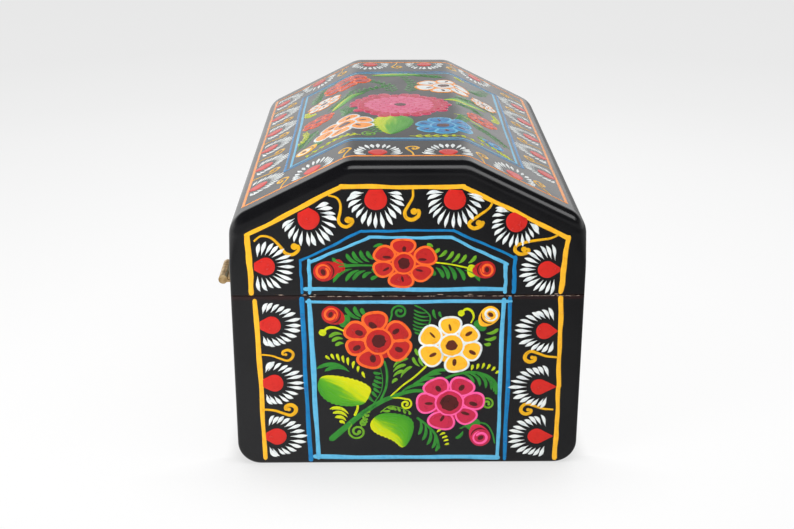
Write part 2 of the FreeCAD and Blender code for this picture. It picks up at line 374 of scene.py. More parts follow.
# %% Wood on the boards
def bare_wood(name, stretch):
    """Pale straight-grained wood: long streaks, fine pores and a dry, rough face, stained at the rims."""
    finish, tree, shader = new_finish(name)
    streak = speckle(tree, 1.0, stretch, detail=6.0)
    pores = speckle(tree, 4.0, stretch, detail=3.0)
    grain = arithmetic(tree, "MULTIPLY", streak, pores)
    stops = [(0.14, tint(146, 104, 66)), (0.27, tint(190, 148, 102)), (0.42, tint(214, 178, 132))]
    off_seam = arithmetic(tree, "ABSOLUTE", from_seam(tree))
    stained = between(tree, off_seam, 0.94, 0, start=0.3 * MM, end=0.9 * MM)
    colour = mixed(tree, stained, ramp(tree, grain, stops), tint(26, 17, 16))
    tree.links.new(colour, shader.inputs["Base Color"])
    tree.links.new(between(tree, pores, 0.75, 0.55), shader.inputs["Roughness"])
    dented(tree, shader, grain, depth=0.0002, strength=0.4)
    return finish


long_grain = bare_wood("bare_wood_long", (14, 320, 320))
cross_grain = bare_wood("bare_wood_ends", (320, 14, 320))


def dress(names, surface):
    """Give solids a finish in every material slot they have."""
    for name in names:
        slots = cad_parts[name].data.materials
        for place in range(len(slots)):
            slots[place] = surface


end_boards = [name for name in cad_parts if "_end_" in name]
brass_words = ("hinge", "hook")
brass_parts = [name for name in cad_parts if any(word in name for word in brass_words)]
long_boards = [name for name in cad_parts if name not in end_boards + brass_parts]
dress(long_boards, long_grain)
dress(end_boards, cross_grain)
print("long boards", len(long_boards), "end boards", len(end_boards), "brass parts", len(brass_parts))

# %% [markdown]
# ## Worn brass
# The hinges, screws and hook are small stock brass. Handled brass is never one colour: it is bright where
# fingers rub it and brown where they don't, so noise blends a few tones and also makes the dark parts
# rougher.

# %% Brass on the hardware
def worn_brass():
    """Brass with brown tarnish in clouds and fine drawn scratches along the box."""
    finish, tree, shader = new_finish("worn_brass")
    cloud = speckle(tree, 420, detail=5.0)
    scratch = speckle(tree, 1.0, stretch=(260, 5200, 5200), detail=2.0)
    stops = [(0.3, tint(176, 142, 92)), (0.46, tint(222, 190, 138)), (0.68, tint(240, 216, 170))]
    tree.links.new(ramp(tree, cloud, stops), shader.inputs["Base Color"])
    tree.links.new(between(tree, cloud, 0.44, 0.26), shader.inputs["Roughness"])
    shader.inputs["Metallic"].default_value = 0.75
    dented(tree, shader, scratch, depth=0.00003, strength=0.35)
    return finish


dress(brass_parts, worn_brass())
print("brass on", sorted(brass_parts)[:4], "and", len(brass_parts) - 4, "more")

# %% [markdown]
# ## Faces to paint on
# A painter turns the box and works on one face at a time. A face here is a function: it takes points as
# (right, up, height above the lacquer), as seen by someone who looks straight at it, and puts them on the
# box. The lid's top is painted as if it were unrolled: "right" is measured along the outline from the
# middle of the crown, and "up" along the box. The long sides are unrolled round their rounded lower edge.

# %% Faces of the box
Face = collections.namedtuple("Face", "body place mirrored", defaults=[False])


def near_end(points):
    """The end that faces the camera: right runs to the front of the box."""
    right, up, height = np.moveaxis(points, -1, 0)
    return np.stack([-half_length - coat - height, -right, up], -1)


def far_end(points):
    """The other end."""
    right, up, height = np.moveaxis(points, -1, 0)
    return np.stack([half_length + coat + height, right, up], -1)


def down_side(up, height):
    """How far out and how high a point of a long side lies. Below the start of the rounded lower edge, up
    is measured along the rounding: the turn is that distance over the radius."""
    turn = np.clip(bottom_round - up, 0, None) / bottom_round
    reach = bottom_round + coat + height
    out = half_width - bottom_round + reach * np.cos(turn)
    return out, np.maximum(up, bottom_round) - reach * np.sin(turn)


def front_side(points):
    """The long front, where the hook is."""
    right, up, height = np.moveaxis(points, -1, 0)
    out, level = down_side(up, height)
    return np.stack([right, -out, level], -1)


def back_side(points):
    """The long back, where the hinges are."""
    right, up, height = np.moveaxis(points, -1, 0)
    out, level = down_side(up, height)
    return np.stack([-right, out, level], -1)


def lid_top(points):
    """The unrolled top: a point goes to its place along the lid's outline, and outwards by its height."""
    right, up, height = np.moveaxis(points, -1, 0)
    spot = [np.interp(right, lid_run, lid_line[:, axis]) for axis in (0, 1)]
    outward = [np.interp(right, lid_run, lid_facing[:, axis]) for axis in (0, 1)]
    across, level = (start + (coat + height) * out for start, out in zip(spot, outward))
    return np.stack([up, across, level], -1)


def moved(face, right=0.0, up=0.0, scale=1.0, mirror=False):
    """The same face with its own origin and scale, for a motif that is used again. A mirrored motif has its
    columns reversed, so that its faces still point outwards."""
    def place(points):
        points = points * np.array([-scale if mirror else scale, scale, 1.0]) + np.array([right, up, 0.0])
        return face.place(points[:, :, ::-1] if mirror else points)
    return Face(face.body, place, mirror != face.mirrored)


print("the middle of the crown is at", lid_top(np.zeros((1, 3)))[0].round(2))

# %% [markdown]
# ## The brush
# Each mark is real paint, so each is a thin raised surface. A stroke is a ribbon: a path, a half width
# along it, and a rounded section whose edges sink just below the lacquer. A filled shape is a rim drawn
# in to its middle in a few rings. Curves with bevels could make strokes too, but would be thick round
# cords. The finished grids collect in pots, one pot for each colour on each moving body.

# %% Strokes and fills
pots = {}
sunk = -0.03
stroke_columns = np.array([-1.0, -0.6, 0.0, 0.6, 1.0])
fill_rings = np.array([1.0, 0.94, 0.7, 0.35, 0.0])


def as_batch(points):
    """Points as a batch shaped (shapes, points, 2), also where they belong to one shape."""
    points = np.asarray(points, float)
    return points.reshape(-1, *points.shape[-2:])


def left_of(steps):
    """Steps turned a quarter turn to the left."""
    return np.stack([-steps[..., 1], steps[..., 0]], -1)


def lay(face, colour, flat, height):
    """Put a batch of flat grids at a height and add it to its pot."""
    grids = np.concatenate([flat, np.broadcast_to(height, flat.shape[:-1])[..., None]], -1)
    pots.setdefault((face.body, colour), []).append(face.place(grids))


def stroke(face, colour, paths, halves, lift=0.07):
    """Brush strokes along paths shaped (strokes, points, 2): each point is carried sideways by a share of
    the half width, and the height falls from lift to the sunk edge with the share's cube."""
    paths = as_batch(paths)
    along = np.gradient(paths, axis=1)
    along = along / (np.linalg.norm(along, axis=-1, keepdims=True) + 1e-9)
    spread = np.broadcast_to(halves, paths.shape[:2])[..., None] * stroke_columns
    flat = paths[:, :, None] + left_of(along)[:, :, None] * spread[..., None]
    lay(face, colour, flat, lift + (sunk - lift) * np.abs(stroke_columns) ** 3)


def fill(face, colour, rims, lift=0.05):
    """Filled shapes from rims shaped (shapes, points, 2), anticlockwise: each ring is the rim drawn in
    towards its own middle by a share."""
    rims = as_batch(rims)
    middle = rims.mean(1)[:, None, None]
    closed = np.concatenate([rims, rims[:, :1]], 1)
    flat = middle + (closed[:, :, None] - middle) * fill_rings[:, None]
    lay(face, colour, flat, np.where(fill_rings == 1, sunk, lift))


print("a stroke is", len(stroke_columns), "points wide, and a filled shape has", len(fill_rings), "rings")

# %% [markdown]
# ## Curves and pressure
# A painter's curve is smooth, and its width follows the pressure of the hand. Blender's own curves could
# give the path, but the brush needs it as plain points, so a cubic is run through a few given points. Two
# widths serve for most strokes: a comma, from one press of the brush, and an even taper.

# %% Curves and widths
def smooth(points, count):
    """A soft curve through given points: between two of them it is the cubic whose slope at each
    is half the step between that point's neighbours."""
    points = np.asarray(points, float)
    padded = np.vstack([2 * points[0] - points[1], points, 2 * points[-1] - points[-2]])
    way = np.linspace(0, len(points) - 1, count)
    span = np.minimum(way.astype(int), len(points) - 2)
    share = (way - span)[:, None]
    before, start, end, after = (padded[span + step] for step in range(4))
    bend = 2 * before - 5 * start + 4 * end - after
    twist = 3 * start - before - 3 * end + after
    return start + 0.5 * ((end - before) * share + bend * share ** 2 + twist * share ** 3)


def comma(count, swell=0.9, tail=0.5):
    """A comma's half width along its length: thin at the root, full past the middle, pointed at the tip."""
    share = np.linspace(0, 1, count)
    shape = share ** swell * (1 - share) ** tail
    return 0.05 + 0.95 * shape / shape.max()


def taper(count, start, end, soft=0.06):
    """A half width that runs evenly from start to end, with both ends rounded off."""
    share = np.linspace(0, 1, count)
    rounded = np.minimum(1, np.minimum(share, 1 - share) / soft)
    return (start + (end - start) * share) * np.sqrt(1 - (1 - rounded) ** 2 * 0.98)


def turned(points, degrees):
    """Points turned anticlockwise about the origin."""
    angle = math.radians(degrees)
    spin = np.array([[math.cos(angle), math.sin(angle)], [-math.sin(angle), math.cos(angle)]])
    return np.asarray(points, float) @ spin


print("a comma's half widths:", comma(6).round(2))

# %% [markdown]
# ## Lines, dots and rings
# The borders are ruled by a steady hand, not by a machine: a line wanders by a tenth of a millimetre or
# two, swells where the brush was full, and has round ends that overshoot its corner a little. A straight
# strip would be simpler, but it would look printed.

# %% Simple marks
line_step = 1.6
fewest_steps = 12
end_shares = np.array([0.08, 0.25, 0.55, 1.0])


def line(face, colour, start, end, half=0.62, lift=0.07, wander=0.12):
    """A hand-drawn line: two slow waves of random phase move it sideways and change its width, and its
    ends are rounded over half its width."""
    start, end = np.asarray(start, float), np.asarray(end, float)
    length = np.linalg.norm(end - start)
    even = np.linspace(0, 1, int(max(fewest_steps, length / line_step)))
    ends = half / length * end_shares
    share = np.sort(np.concatenate([even, ends, 1 - ends]))
    phase = chance.uniform(0, 2 * math.pi, 4)
    wave = np.sin(7 * share + phase[0]) + 0.6 * np.sin(17 * share + phase[1])
    swell = 1 + 0.1 * np.sin(6 * share + phase[2]) + 0.07 * np.sin(23 * share + phase[3])
    across = left_of(end - start) / length
    path = start + (end - start) * share[:, None] + across * wander * wave[:, None]
    rounded = np.clip(np.minimum(share, 1 - share) * length / half, 0, 1)
    stroke(face, colour, path, half * swell * np.sqrt(1 - 0.96 * (1 - rounded) ** 2), lift)


def lines(face, colour, corners, half=0.62, lift=0.07, wander=0.12):
    """Lines from corner to corner, each run a little past its ends so that the corners close."""
    corners = np.asarray(corners, float)
    for start, end in zip(corners[:-1], corners[1:]):
        past = 0.8 * half * (end - start) / np.linalg.norm(end - start)
        line(face, colour, start - past, end + past, half, lift, wander)


def toward(angle):
    """Unit steps at angles in radians, anticlockwise from the right."""
    return np.stack([np.cos(angle), np.sin(angle)], -1)


def round_rim(centre, radius, count, rough):
    """A circle's rim, anticlockwise, with a little roughness."""
    angle = np.linspace(0, 2 * math.pi, count, endpoint=False)
    reach = radius * (1 + rough * chance.normal(0, 1, count))
    return np.asarray(centre) + reach[:, None] * toward(angle)


def dot(face, colour, centre, radius, lift=0.08, rough=0.02):
    """A dab of paint."""
    fill(face, colour, round_rim(centre, radius, count=18, rough=rough), lift)


def ring(face, colour, rims, half, lift):
    """Closed strokes round rims shaped (shapes, points, 2)."""
    rims = as_batch(rims)
    stroke(face, colour, np.concatenate([rims, rims[:, :2]], 1), half, lift)


print("a line of 60 mm has", int(60 / line_step) + 2 * len(end_shares), "points along it")

# %% [markdown]
# ## Rosettes
# The border repeats one motif: a red berry that touches the border line, with a fan of white flame-shaped
# strokes round it. The strokes are laid with one press of the brush each, so they start thin, swell and
# end in a point that hooks forwards. One rosette could be copied to every place, but no two are alike
# when they are painted by hand, so each is drawn anew with small random changes.

# %% Rosettes
ray_count = 15
ray_points = 13
ray_half = 0.76
rosette_reach = 10.2
fan_half_angle = np.radians(128)
line_clear = 1.2


def berry_drop(face, centre, aim, gap, berry, size, point):
    """A drop that points back at the border line: a circle with two tangents that meet behind it at
    radius * (1 + point), cut off a gap away, where the line runs. On a tangent the reach is
    radius / cos(angle from where it touches)."""
    angle = np.linspace(0, 2 * math.pi, 48, endpoint=False)
    bend = math.acos(1 / (1 + point))
    reach = berry / np.cos(np.clip(bend - np.abs(angle - math.pi), 0, None))
    reach = reach * (1 + 0.02 * np.sin(3 * angle + chance.uniform(0, 6)))
    rim = reach[:, None] * toward(angle)
    rim[:, 0] = np.maximum(rim[:, 0], -gap)
    fill(face, "berry", turned(rim * size, aim) + centre, lift=0.06)


def ray_fan(face, centre, aim, gap, berry, size, clear, stream, trim):
    """Rays round a berry. Their roots lie on a circle a clear space outside it, over a wide fan that keeps
    off the border line. A ray sets off at a share, stream, of its root's angle and its tip hooks forwards,
    so that the fan streams. The further aside a ray starts, the shorter it is: trim times the angle's
    squared sine comes off its length."""
    fan = np.linspace(-1, 1, ray_count) + chance.normal(0, 0.006, ray_count)
    root_angle = fan_half_angle * fan
    heading = stream * root_angle + np.radians(2) * chance.normal(0, 1, ray_count)
    root_reach = (berry + clear) * (1 + 0.12 * np.abs(fan) ** 3 + 0.02 * chance.normal(0, 1, ray_count))
    root = root_reach[:, None] * toward(root_angle)
    root[:, 0] = np.maximum(root[:, 0], line_clear - gap)
    length = (rosette_reach - berry - clear) * (1 - trim * np.sin(root_angle) ** 2)
    length = length * (1 + 0.06 * chance.normal(0, 1, ray_count))
    lean = 0.3 - 1.3 * fan + 0.25 * chance.normal(0, 1, ray_count)
    share = np.linspace(0, 1, ray_points)
    ahead = toward(heading)
    hook = lean[:, None] * (share ** 4 - 0.6 * share ** 2)
    path = root[:, None] + ahead[:, None] * (length[:, None] * share)[..., None]
    path = path + left_of(ahead)[:, None] * hook[..., None]
    press = 1 + 0.1 * chance.normal(0, 1, (ray_count, 1))
    half = ray_half * size * comma(ray_points, swell=1.8, tail=1.1) * press
    stroke(face, "white", turned(path * size, aim) + centre, half, lift=0.08)


def rosette(face, centre, aim, gap=4.2, berry=3.3, size=1.0, clear=1.4, point=0.8, stream=0.54, trim=0.3):
    """A berry and its fan, which opens towards the angle aim."""
    berry_drop(face, centre, aim, gap, berry, size, point)
    ray_fan(face, centre, aim, gap, berry, size, clear, stream, trim)


ray_faces = (ray_points - 1) * (len(stroke_columns) - 1)
print("a rosette has", ray_count, "rays of", ray_faces, "faces each")

# %% [markdown]
# ## Scrolls
# Between two rosettes a golden scroll curls in from the line and ends in a small ball. It could be a true
# spiral, but that would look too regular, so it is a curve through a few points. One list of points
# serves for most scrolls, turned, flipped and resized.

# %% Scrolls
def scroll(face, points, colour="gold", half=0.55, ball=1.2):
    """A curl that starts thin on the border line, thickens round its bend, and ends in a small ball."""
    count = 44
    path = smooth(points, count)
    swell = 0.6 + 0.5 * np.sin(math.pi * np.linspace(0, 1, count) ** 1.5)
    stroke(face, colour, path, half * swell, lift=0.07)
    dot(face, colour, points[-1], ball, lift=0.085)


curl = [(0, 0), (3.8, -0.4), (6.8, -1.5), (9.4, -2.3), (11.1, -1.1), (11.3, 0.6), (9.8, 1.7), (8.1, 1.2),
        (7.8, 0.1), (8.9, 0.0)]


def border_scroll(face, start, aim, flip=False, size=1.0, half=0.62):
    """The usual scroll between two rosettes, curling in from the line at start."""
    shape = np.asarray(curl) * np.array([size, -size if flip else size])
    scroll(face, turned(shape, aim) + start, half=half, ball=0.9 * half * size)


print("the usual scroll is drawn through", len(curl), "points")

# %% [markdown]
# ## Flowers
# Flowers are built in the painter's order: petals filled in one colour, each petal outlined in another, a
# dark mark in every petal, then the heart with its ring. A flat picture of a flower would be simpler, but
# light wouldn't catch its edges. Here each layer lies a little higher than what it covers, as paint does.

# %% Flowers
def swung(out, side, angle):
    """Points that lie out along an angle and aside of it, as right and up."""
    cos, sin = np.cos(angle)[:, None], np.sin(angle)[:, None]
    return np.stack([out * cos - side * sin, out * sin + side * cos], -1)


def petal_rims(centre, radius, aims, inner, wide, stretch):
    """Petal outlines: along each aim a full, slightly squared oval from inner to radius, wider outside."""
    angle = np.linspace(0, 2 * math.pi, 30, endpoint=False)
    middle, half = (1 + inner) / 2, (1 - inner) / 2
    grow = 1 + 0.04 * chance.normal(0, 1, (len(aims), 1))
    full_sine = np.sign(np.sin(angle)) * np.abs(np.sin(angle)) ** 0.8
    out = radius * (middle + half * np.cos(angle)) * grow
    side = radius * np.reshape(wide, (-1, 1)) * full_sine * (0.9 + 0.16 * np.cos(angle)) * grow
    return np.asarray(centre) + swung(out, side, aims) * np.asarray(stretch)


def around(turn, petals=6):
    """Petal directions in degrees, evenly round from turn."""
    return turn + 360 / petals * np.arange(petals)


def flower(face, centre, radius, aims, body, edge, heart="maroon", stretch=(1.0, 1.0), line_share=0.056,
           middle=0.4, eye=0.22, mark=0.09):
    """A flower of round petals that point along aims, given in degrees and listed anticlockwise. A petal is
    as wide as the space to its neighbours lets it be, and its outline is painted a little inside it. The
    sizes of the middle, its dark eye and the petals' marks are shares of the radius."""
    petals = len(aims)
    aims = np.radians(aims) + 0.02 * chance.normal(0, 1, petals)
    gaps = np.mod(np.roll(aims, -1) - aims, 2 * math.pi)
    wide = 0.2 * np.minimum(gaps, np.roll(gaps, 1)) + 0.095 * (gaps + np.roll(gaps, 1))
    rims = petal_rims(centre, radius, aims, inner=0.36, wide=wide, stretch=stretch)
    dot(face, body, centre, radius * 0.6, lift=0.07, rough=0.02)
    fill(face, body, rims, lift=0.08)
    drift = radius * 0.016 * chance.normal(0, 1, (petals, 1, 2))
    middles = rims.mean(axis=1, keepdims=True)
    ring(face, edge, middles + (rims - middles) * 0.965 + drift, radius * line_share, lift=0.12)
    mark_points = 9
    share = np.linspace(0, 1, mark_points)
    start = 0.5 + 0.04 * chance.normal(0, 1, (petals, 1))
    reach = radius * (start + 0.25 * share)
    skew = radius * 0.07 * chance.normal(0, 1, (petals, 1)) * share
    marks = swung(reach, skew, aims) * np.asarray(stretch)
    size = mark * (1 + 0.3 * chance.uniform(-1, 1, (petals, 1)))
    mark_half = radius * size * comma(mark_points, swell=0.5, tail=0.45)
    stroke(face, heart, marks[:, ::-1] + np.asarray(centre), mark_half, lift=0.115)
    dot(face, body, centre, radius * (middle + 0.02), lift=0.13, rough=0.01)
    heart_rim = round_rim(centre, radius * middle, count=30, rough=0.012)
    ring(face, edge, heart_rim, radius * line_share, lift=0.165)
    dot(face, heart, centre, radius * eye, lift=0.155, rough=0.05)


print("a flower of six petals lays", 6 * 3 + 4, "surfaces")

# %% [markdown]
# ## Buds and the large flower
# A bud is seen from the side: an egg with a calyx behind it, and one curled petal edge round a dark eye.
# The large flower in the middle of the lid is all small petals in rings. Its petals could be placed one
# by one, but they are regular enough for a loop, which lays each ring a little higher than the last.

# %% Buds and the large flower
dahlia_rings = [(1.0, 26, "crimson", "rose"), (0.86, 24, "crimson", "rose"), (0.72, 21, "rose", "crimson"),
                (0.58, 18, "rose", "crimson"), (0.44, 14, "rose", "crimson"), (0.3, 10, "rose", "crimson")]


def bud(face, centre, radius, aim, body, edge, heart="maroon", calyx="green"):
    """A rosebud that opens towards aim: a calyx behind, a body that is drawn out to it, one curled petal
    edge round a dark eye, and a dark crescent where the petal folds."""
    angle = np.linspace(0, 2 * math.pi, 28, endpoint=False)
    cos, sin = np.cos(angle), np.sin(angle)
    sepal = radius * np.stack([-0.98 + 0.55 * cos, 0.62 * sin * (1 - 0.3 * cos)], -1)
    egg = radius * np.stack([1.1 * cos, sin * (0.84 + 0.16 * cos)], -1)
    eye = radius * np.stack([0.3 + 0.2 * cos, 0.28 * sin], -1)
    swirl = np.linspace(0, 1, 30)
    winding = math.radians(160) + math.radians(420) * swirl
    reach = (0.66 - 0.26 * swirl)[:, None]
    lip = radius * (np.array([0.3, 0.0]) + reach * np.stack([0.92 * np.cos(winding), np.sin(winding)], -1))
    turn = np.linspace(math.radians(115), math.radians(235), 12)
    fold = radius * np.stack([0.3 + 0.86 * np.cos(turn), 0.8 * np.sin(turn)], -1)
    fill(face, calyx, turned(sepal, aim) + centre, lift=0.05)
    fill(face, body, turned(egg, aim) + centre, lift=0.08)
    fold_half = radius * 0.12 * comma(len(fold), swell=0.6, tail=0.6)
    stroke(face, heart, turned(fold, aim) + centre, fold_half, lift=0.11)
    lip_half = radius * 0.17 * comma(len(lip), swell=0.5, tail=0.2)
    stroke(face, edge, turned(lip, aim) + centre, lip_half, lift=0.125)
    fill(face, heart, turned(eye, aim) + centre, lift=0.115)


def dahlia(face, centre, radius):
    """The lid's large flower: rings of small round petals, each ring smaller and higher than the last,
    darker outside, with lines of the other colour round every petal."""
    for level, (reach, count, body, edge) in enumerate(dahlia_rings):
        rise = 0.02 * level
        aims = 2 * math.pi / count * (np.arange(count) + 0.5 * (level % 2))
        rims = petal_rims(centre, radius * reach, aims, inner=0.66, wide=3.1 / count, stretch=(1, 1))
        dot(face, body, centre, radius * reach * 0.84, lift=0.07 + rise, rough=0.01)
        fill(face, body, rims, lift=0.075 + rise)
        ring(face, edge, rims, radius * 0.011, lift=0.085 + rise)
    dot(face, "maroon", centre, radius * 0.13, lift=0.21, rough=0.05)


dahlia_petals = sum(count for reach, count, body, edge in dahlia_rings)
print("the large flower has", dahlia_petals, "petals in", len(dahlia_rings), "rings")

# %% [markdown]
# ## Leaves
# A leaf is one brushful of two greens side by side. Two surfaces could meet in its middle, but then the
# greens wouldn't run into each other, so it is one surface whose colour changes across it. Its edge has
# the small teeth that the brush tip left.

# %% Leaves
leaf_maps = {}
leaf_rows = 44
leaf_columns = 11


def leaf(face, foot, tip, wide, bright_left=True, sway=0.0, bright=0.0, belly=0.9, blunt=0.46, skew=0.0):
    """A leaf from foot to tip. Its half width is wide * sin(pi * share ** belly) ** blunt with small
    teeth; skew raises belly on the left and lowers it on the right, so that one side is fullest towards the
    tip and the other towards the foot. Its middle sways to the left, most near the tip, by a share of its
    length. Its map runs from the dark side to the bright side, and is moved on by bright where more of the
    leaf is yellow."""
    foot, tip = np.asarray(foot, float), np.asarray(tip, float)
    share = np.linspace(0.0005, 0.9995, leaf_rows)
    ahead = (tip - foot) / np.linalg.norm(tip - foot)
    left = left_of(ahead)
    bow = sway * np.linalg.norm(tip - foot) * np.sin(math.pi * share ** 1.6)
    spine = foot + (tip - foot) * share[:, None] + left * bow[:, None]
    teeth = 1 + 0.03 * np.sin(70 * share + chance.uniform(0, 6)) * np.sin(math.pi * share)
    across = np.linspace(-1, 1, leaf_columns)
    fullest = belly * (1 + skew * np.sign(across))
    half = wide * np.sin(math.pi * share[:, None] ** fullest) ** blunt * teeth[:, None]
    flat = spine[:, None] + left * (half * across)[..., None]
    lay(face, "leaf", flat[None], np.where(np.abs(across) == 1, sunk, 0.06 - 0.015 * (across == 0)))
    grid_map = brush_map((1, leaf_rows, leaf_columns))
    if bright_left == face.mirrored:
        grid_map[:, 1] = 1 - grid_map[:, 1]
    grid_map[:, 1] = grid_map[:, 1] + bright
    leaf_maps.setdefault(face.body, []).append(grid_map)


print("a leaf has", (leaf_rows - 1) * (leaf_columns - 1), "faces")

# %% [markdown]
# ## Ferns, tendrils and stalks
# A fern is a row of comma strokes on a thin stem, and one rule for their angle and length draws it. Where
# the strokes follow no rule they are single blades, given one by one. Tendrils wind in to a small ball. All
# of these are strokes of the same brush.

# %% Ferns, tendrils and stalks
def fern(face, colour, spine, count, length, sides=(1, -1), lean=55, half=0.6):
    """Comma leaves along a stem. Each starts on the stem, sets off at an angle of lean to it, and bends
    back towards the stem's direction. They shorten towards the tip."""
    stem_points, leaflet_points = 50, 9
    path = smooth(spine, stem_points)
    stroke(face, colour, path, taper(stem_points, start=0.26, end=0.12), lift=0.05)
    steps = np.linspace(4, stem_points - 3, count).astype(int)
    ahead = np.gradient(path, axis=0)[steps]
    ahead = ahead / np.linalg.norm(ahead, axis=1, keepdims=True)
    left = left_of(ahead)
    share = np.linspace(0, 1, leaflet_points)
    angle = math.radians(lean)
    shorter = length * (1 - 0.4 * np.linspace(0, 1, count) ** 1.5)
    for side in sides:
        size = shorter * (1 + 0.08 * chance.normal(0, 1, count))
        out = (math.cos(angle) * share + 0.25 * share ** 2) * size[:, None]
        aside = side * (math.sin(angle) * share - 0.2 * share ** 2) * size[:, None]
        leaflets = path[steps][:, None] + ahead[:, None] * out[..., None] + left[:, None] * aside[..., None]
        stroke(face, colour, leaflets, half * comma(leaflet_points, swell=0.8, tail=0.42), lift=0.06)


def blades(face, colour, roots, tips, bow=0.15, half=0.75):
    """Single comma strokes from roots to tips, bowed to the left by a share of their length."""
    roots, tips = np.asarray(roots, float), np.asarray(tips, float)
    points = 10
    share = np.linspace(0, 1, points)
    along = tips - roots
    paths = roots[:, None] + along[:, None] * share[:, None]
    paths = paths + left_of(along)[:, None] * (4 * bow * share * (1 - share))[:, None]
    stroke(face, colour, paths, half * comma(points, swell=0.8, tail=0.42), lift=0.06)


def spiral(face, colour, centre, radius, turn, turns=1.4, hand=1, tail=None):
    """A tendril that winds in to a ball; its radius falls evenly with the angle. A tail leads in to it."""
    share = np.linspace(0, 1, 46)
    angle = math.radians(turn) + hand * 2 * math.pi * turns * share
    reach = radius * (1 - 0.78 * share)
    path = np.asarray(centre) + reach[:, None] * toward(angle)
    if tail is not None:
        halfway = (np.asarray(tail) + path[0]) / 2 + 0.2 * (path[0] - path[4])
        lead = smooth([tail, halfway, path[0]], 14)
        path = np.concatenate([lead[:-1], path])
    stroke(face, colour, path, taper(len(path), start=0.36, end=0.52), lift=0.07)
    dot(face, colour, path[-1], radius * 0.24, lift=0.07)


def stem(face, colour, points, start, end, lift=0.06):
    """A smooth stalk whose half width runs from start to end."""
    count = 12 * len(points)
    stroke(face, colour, smooth(points, count), taper(count, start, end, soft=0.04), lift)


print("a stalk's half widths:", taper(6, start=1.4, end=0.65).round(2))

# %% [markdown]
# ## The bouquet
# The square panel on each end holds the main bouquet: a green stem rises from the lower left corner and
# carries a red, a yellow and a crimson flower, three buds and two broad leaves, with ferns and tendrils
# in the spaces. It could be drawn anew wherever it is needed, but the long sides use it again, once as it
# is and once mirrored, so it is kept as functions. The ferns and blades come first, as they lie behind.

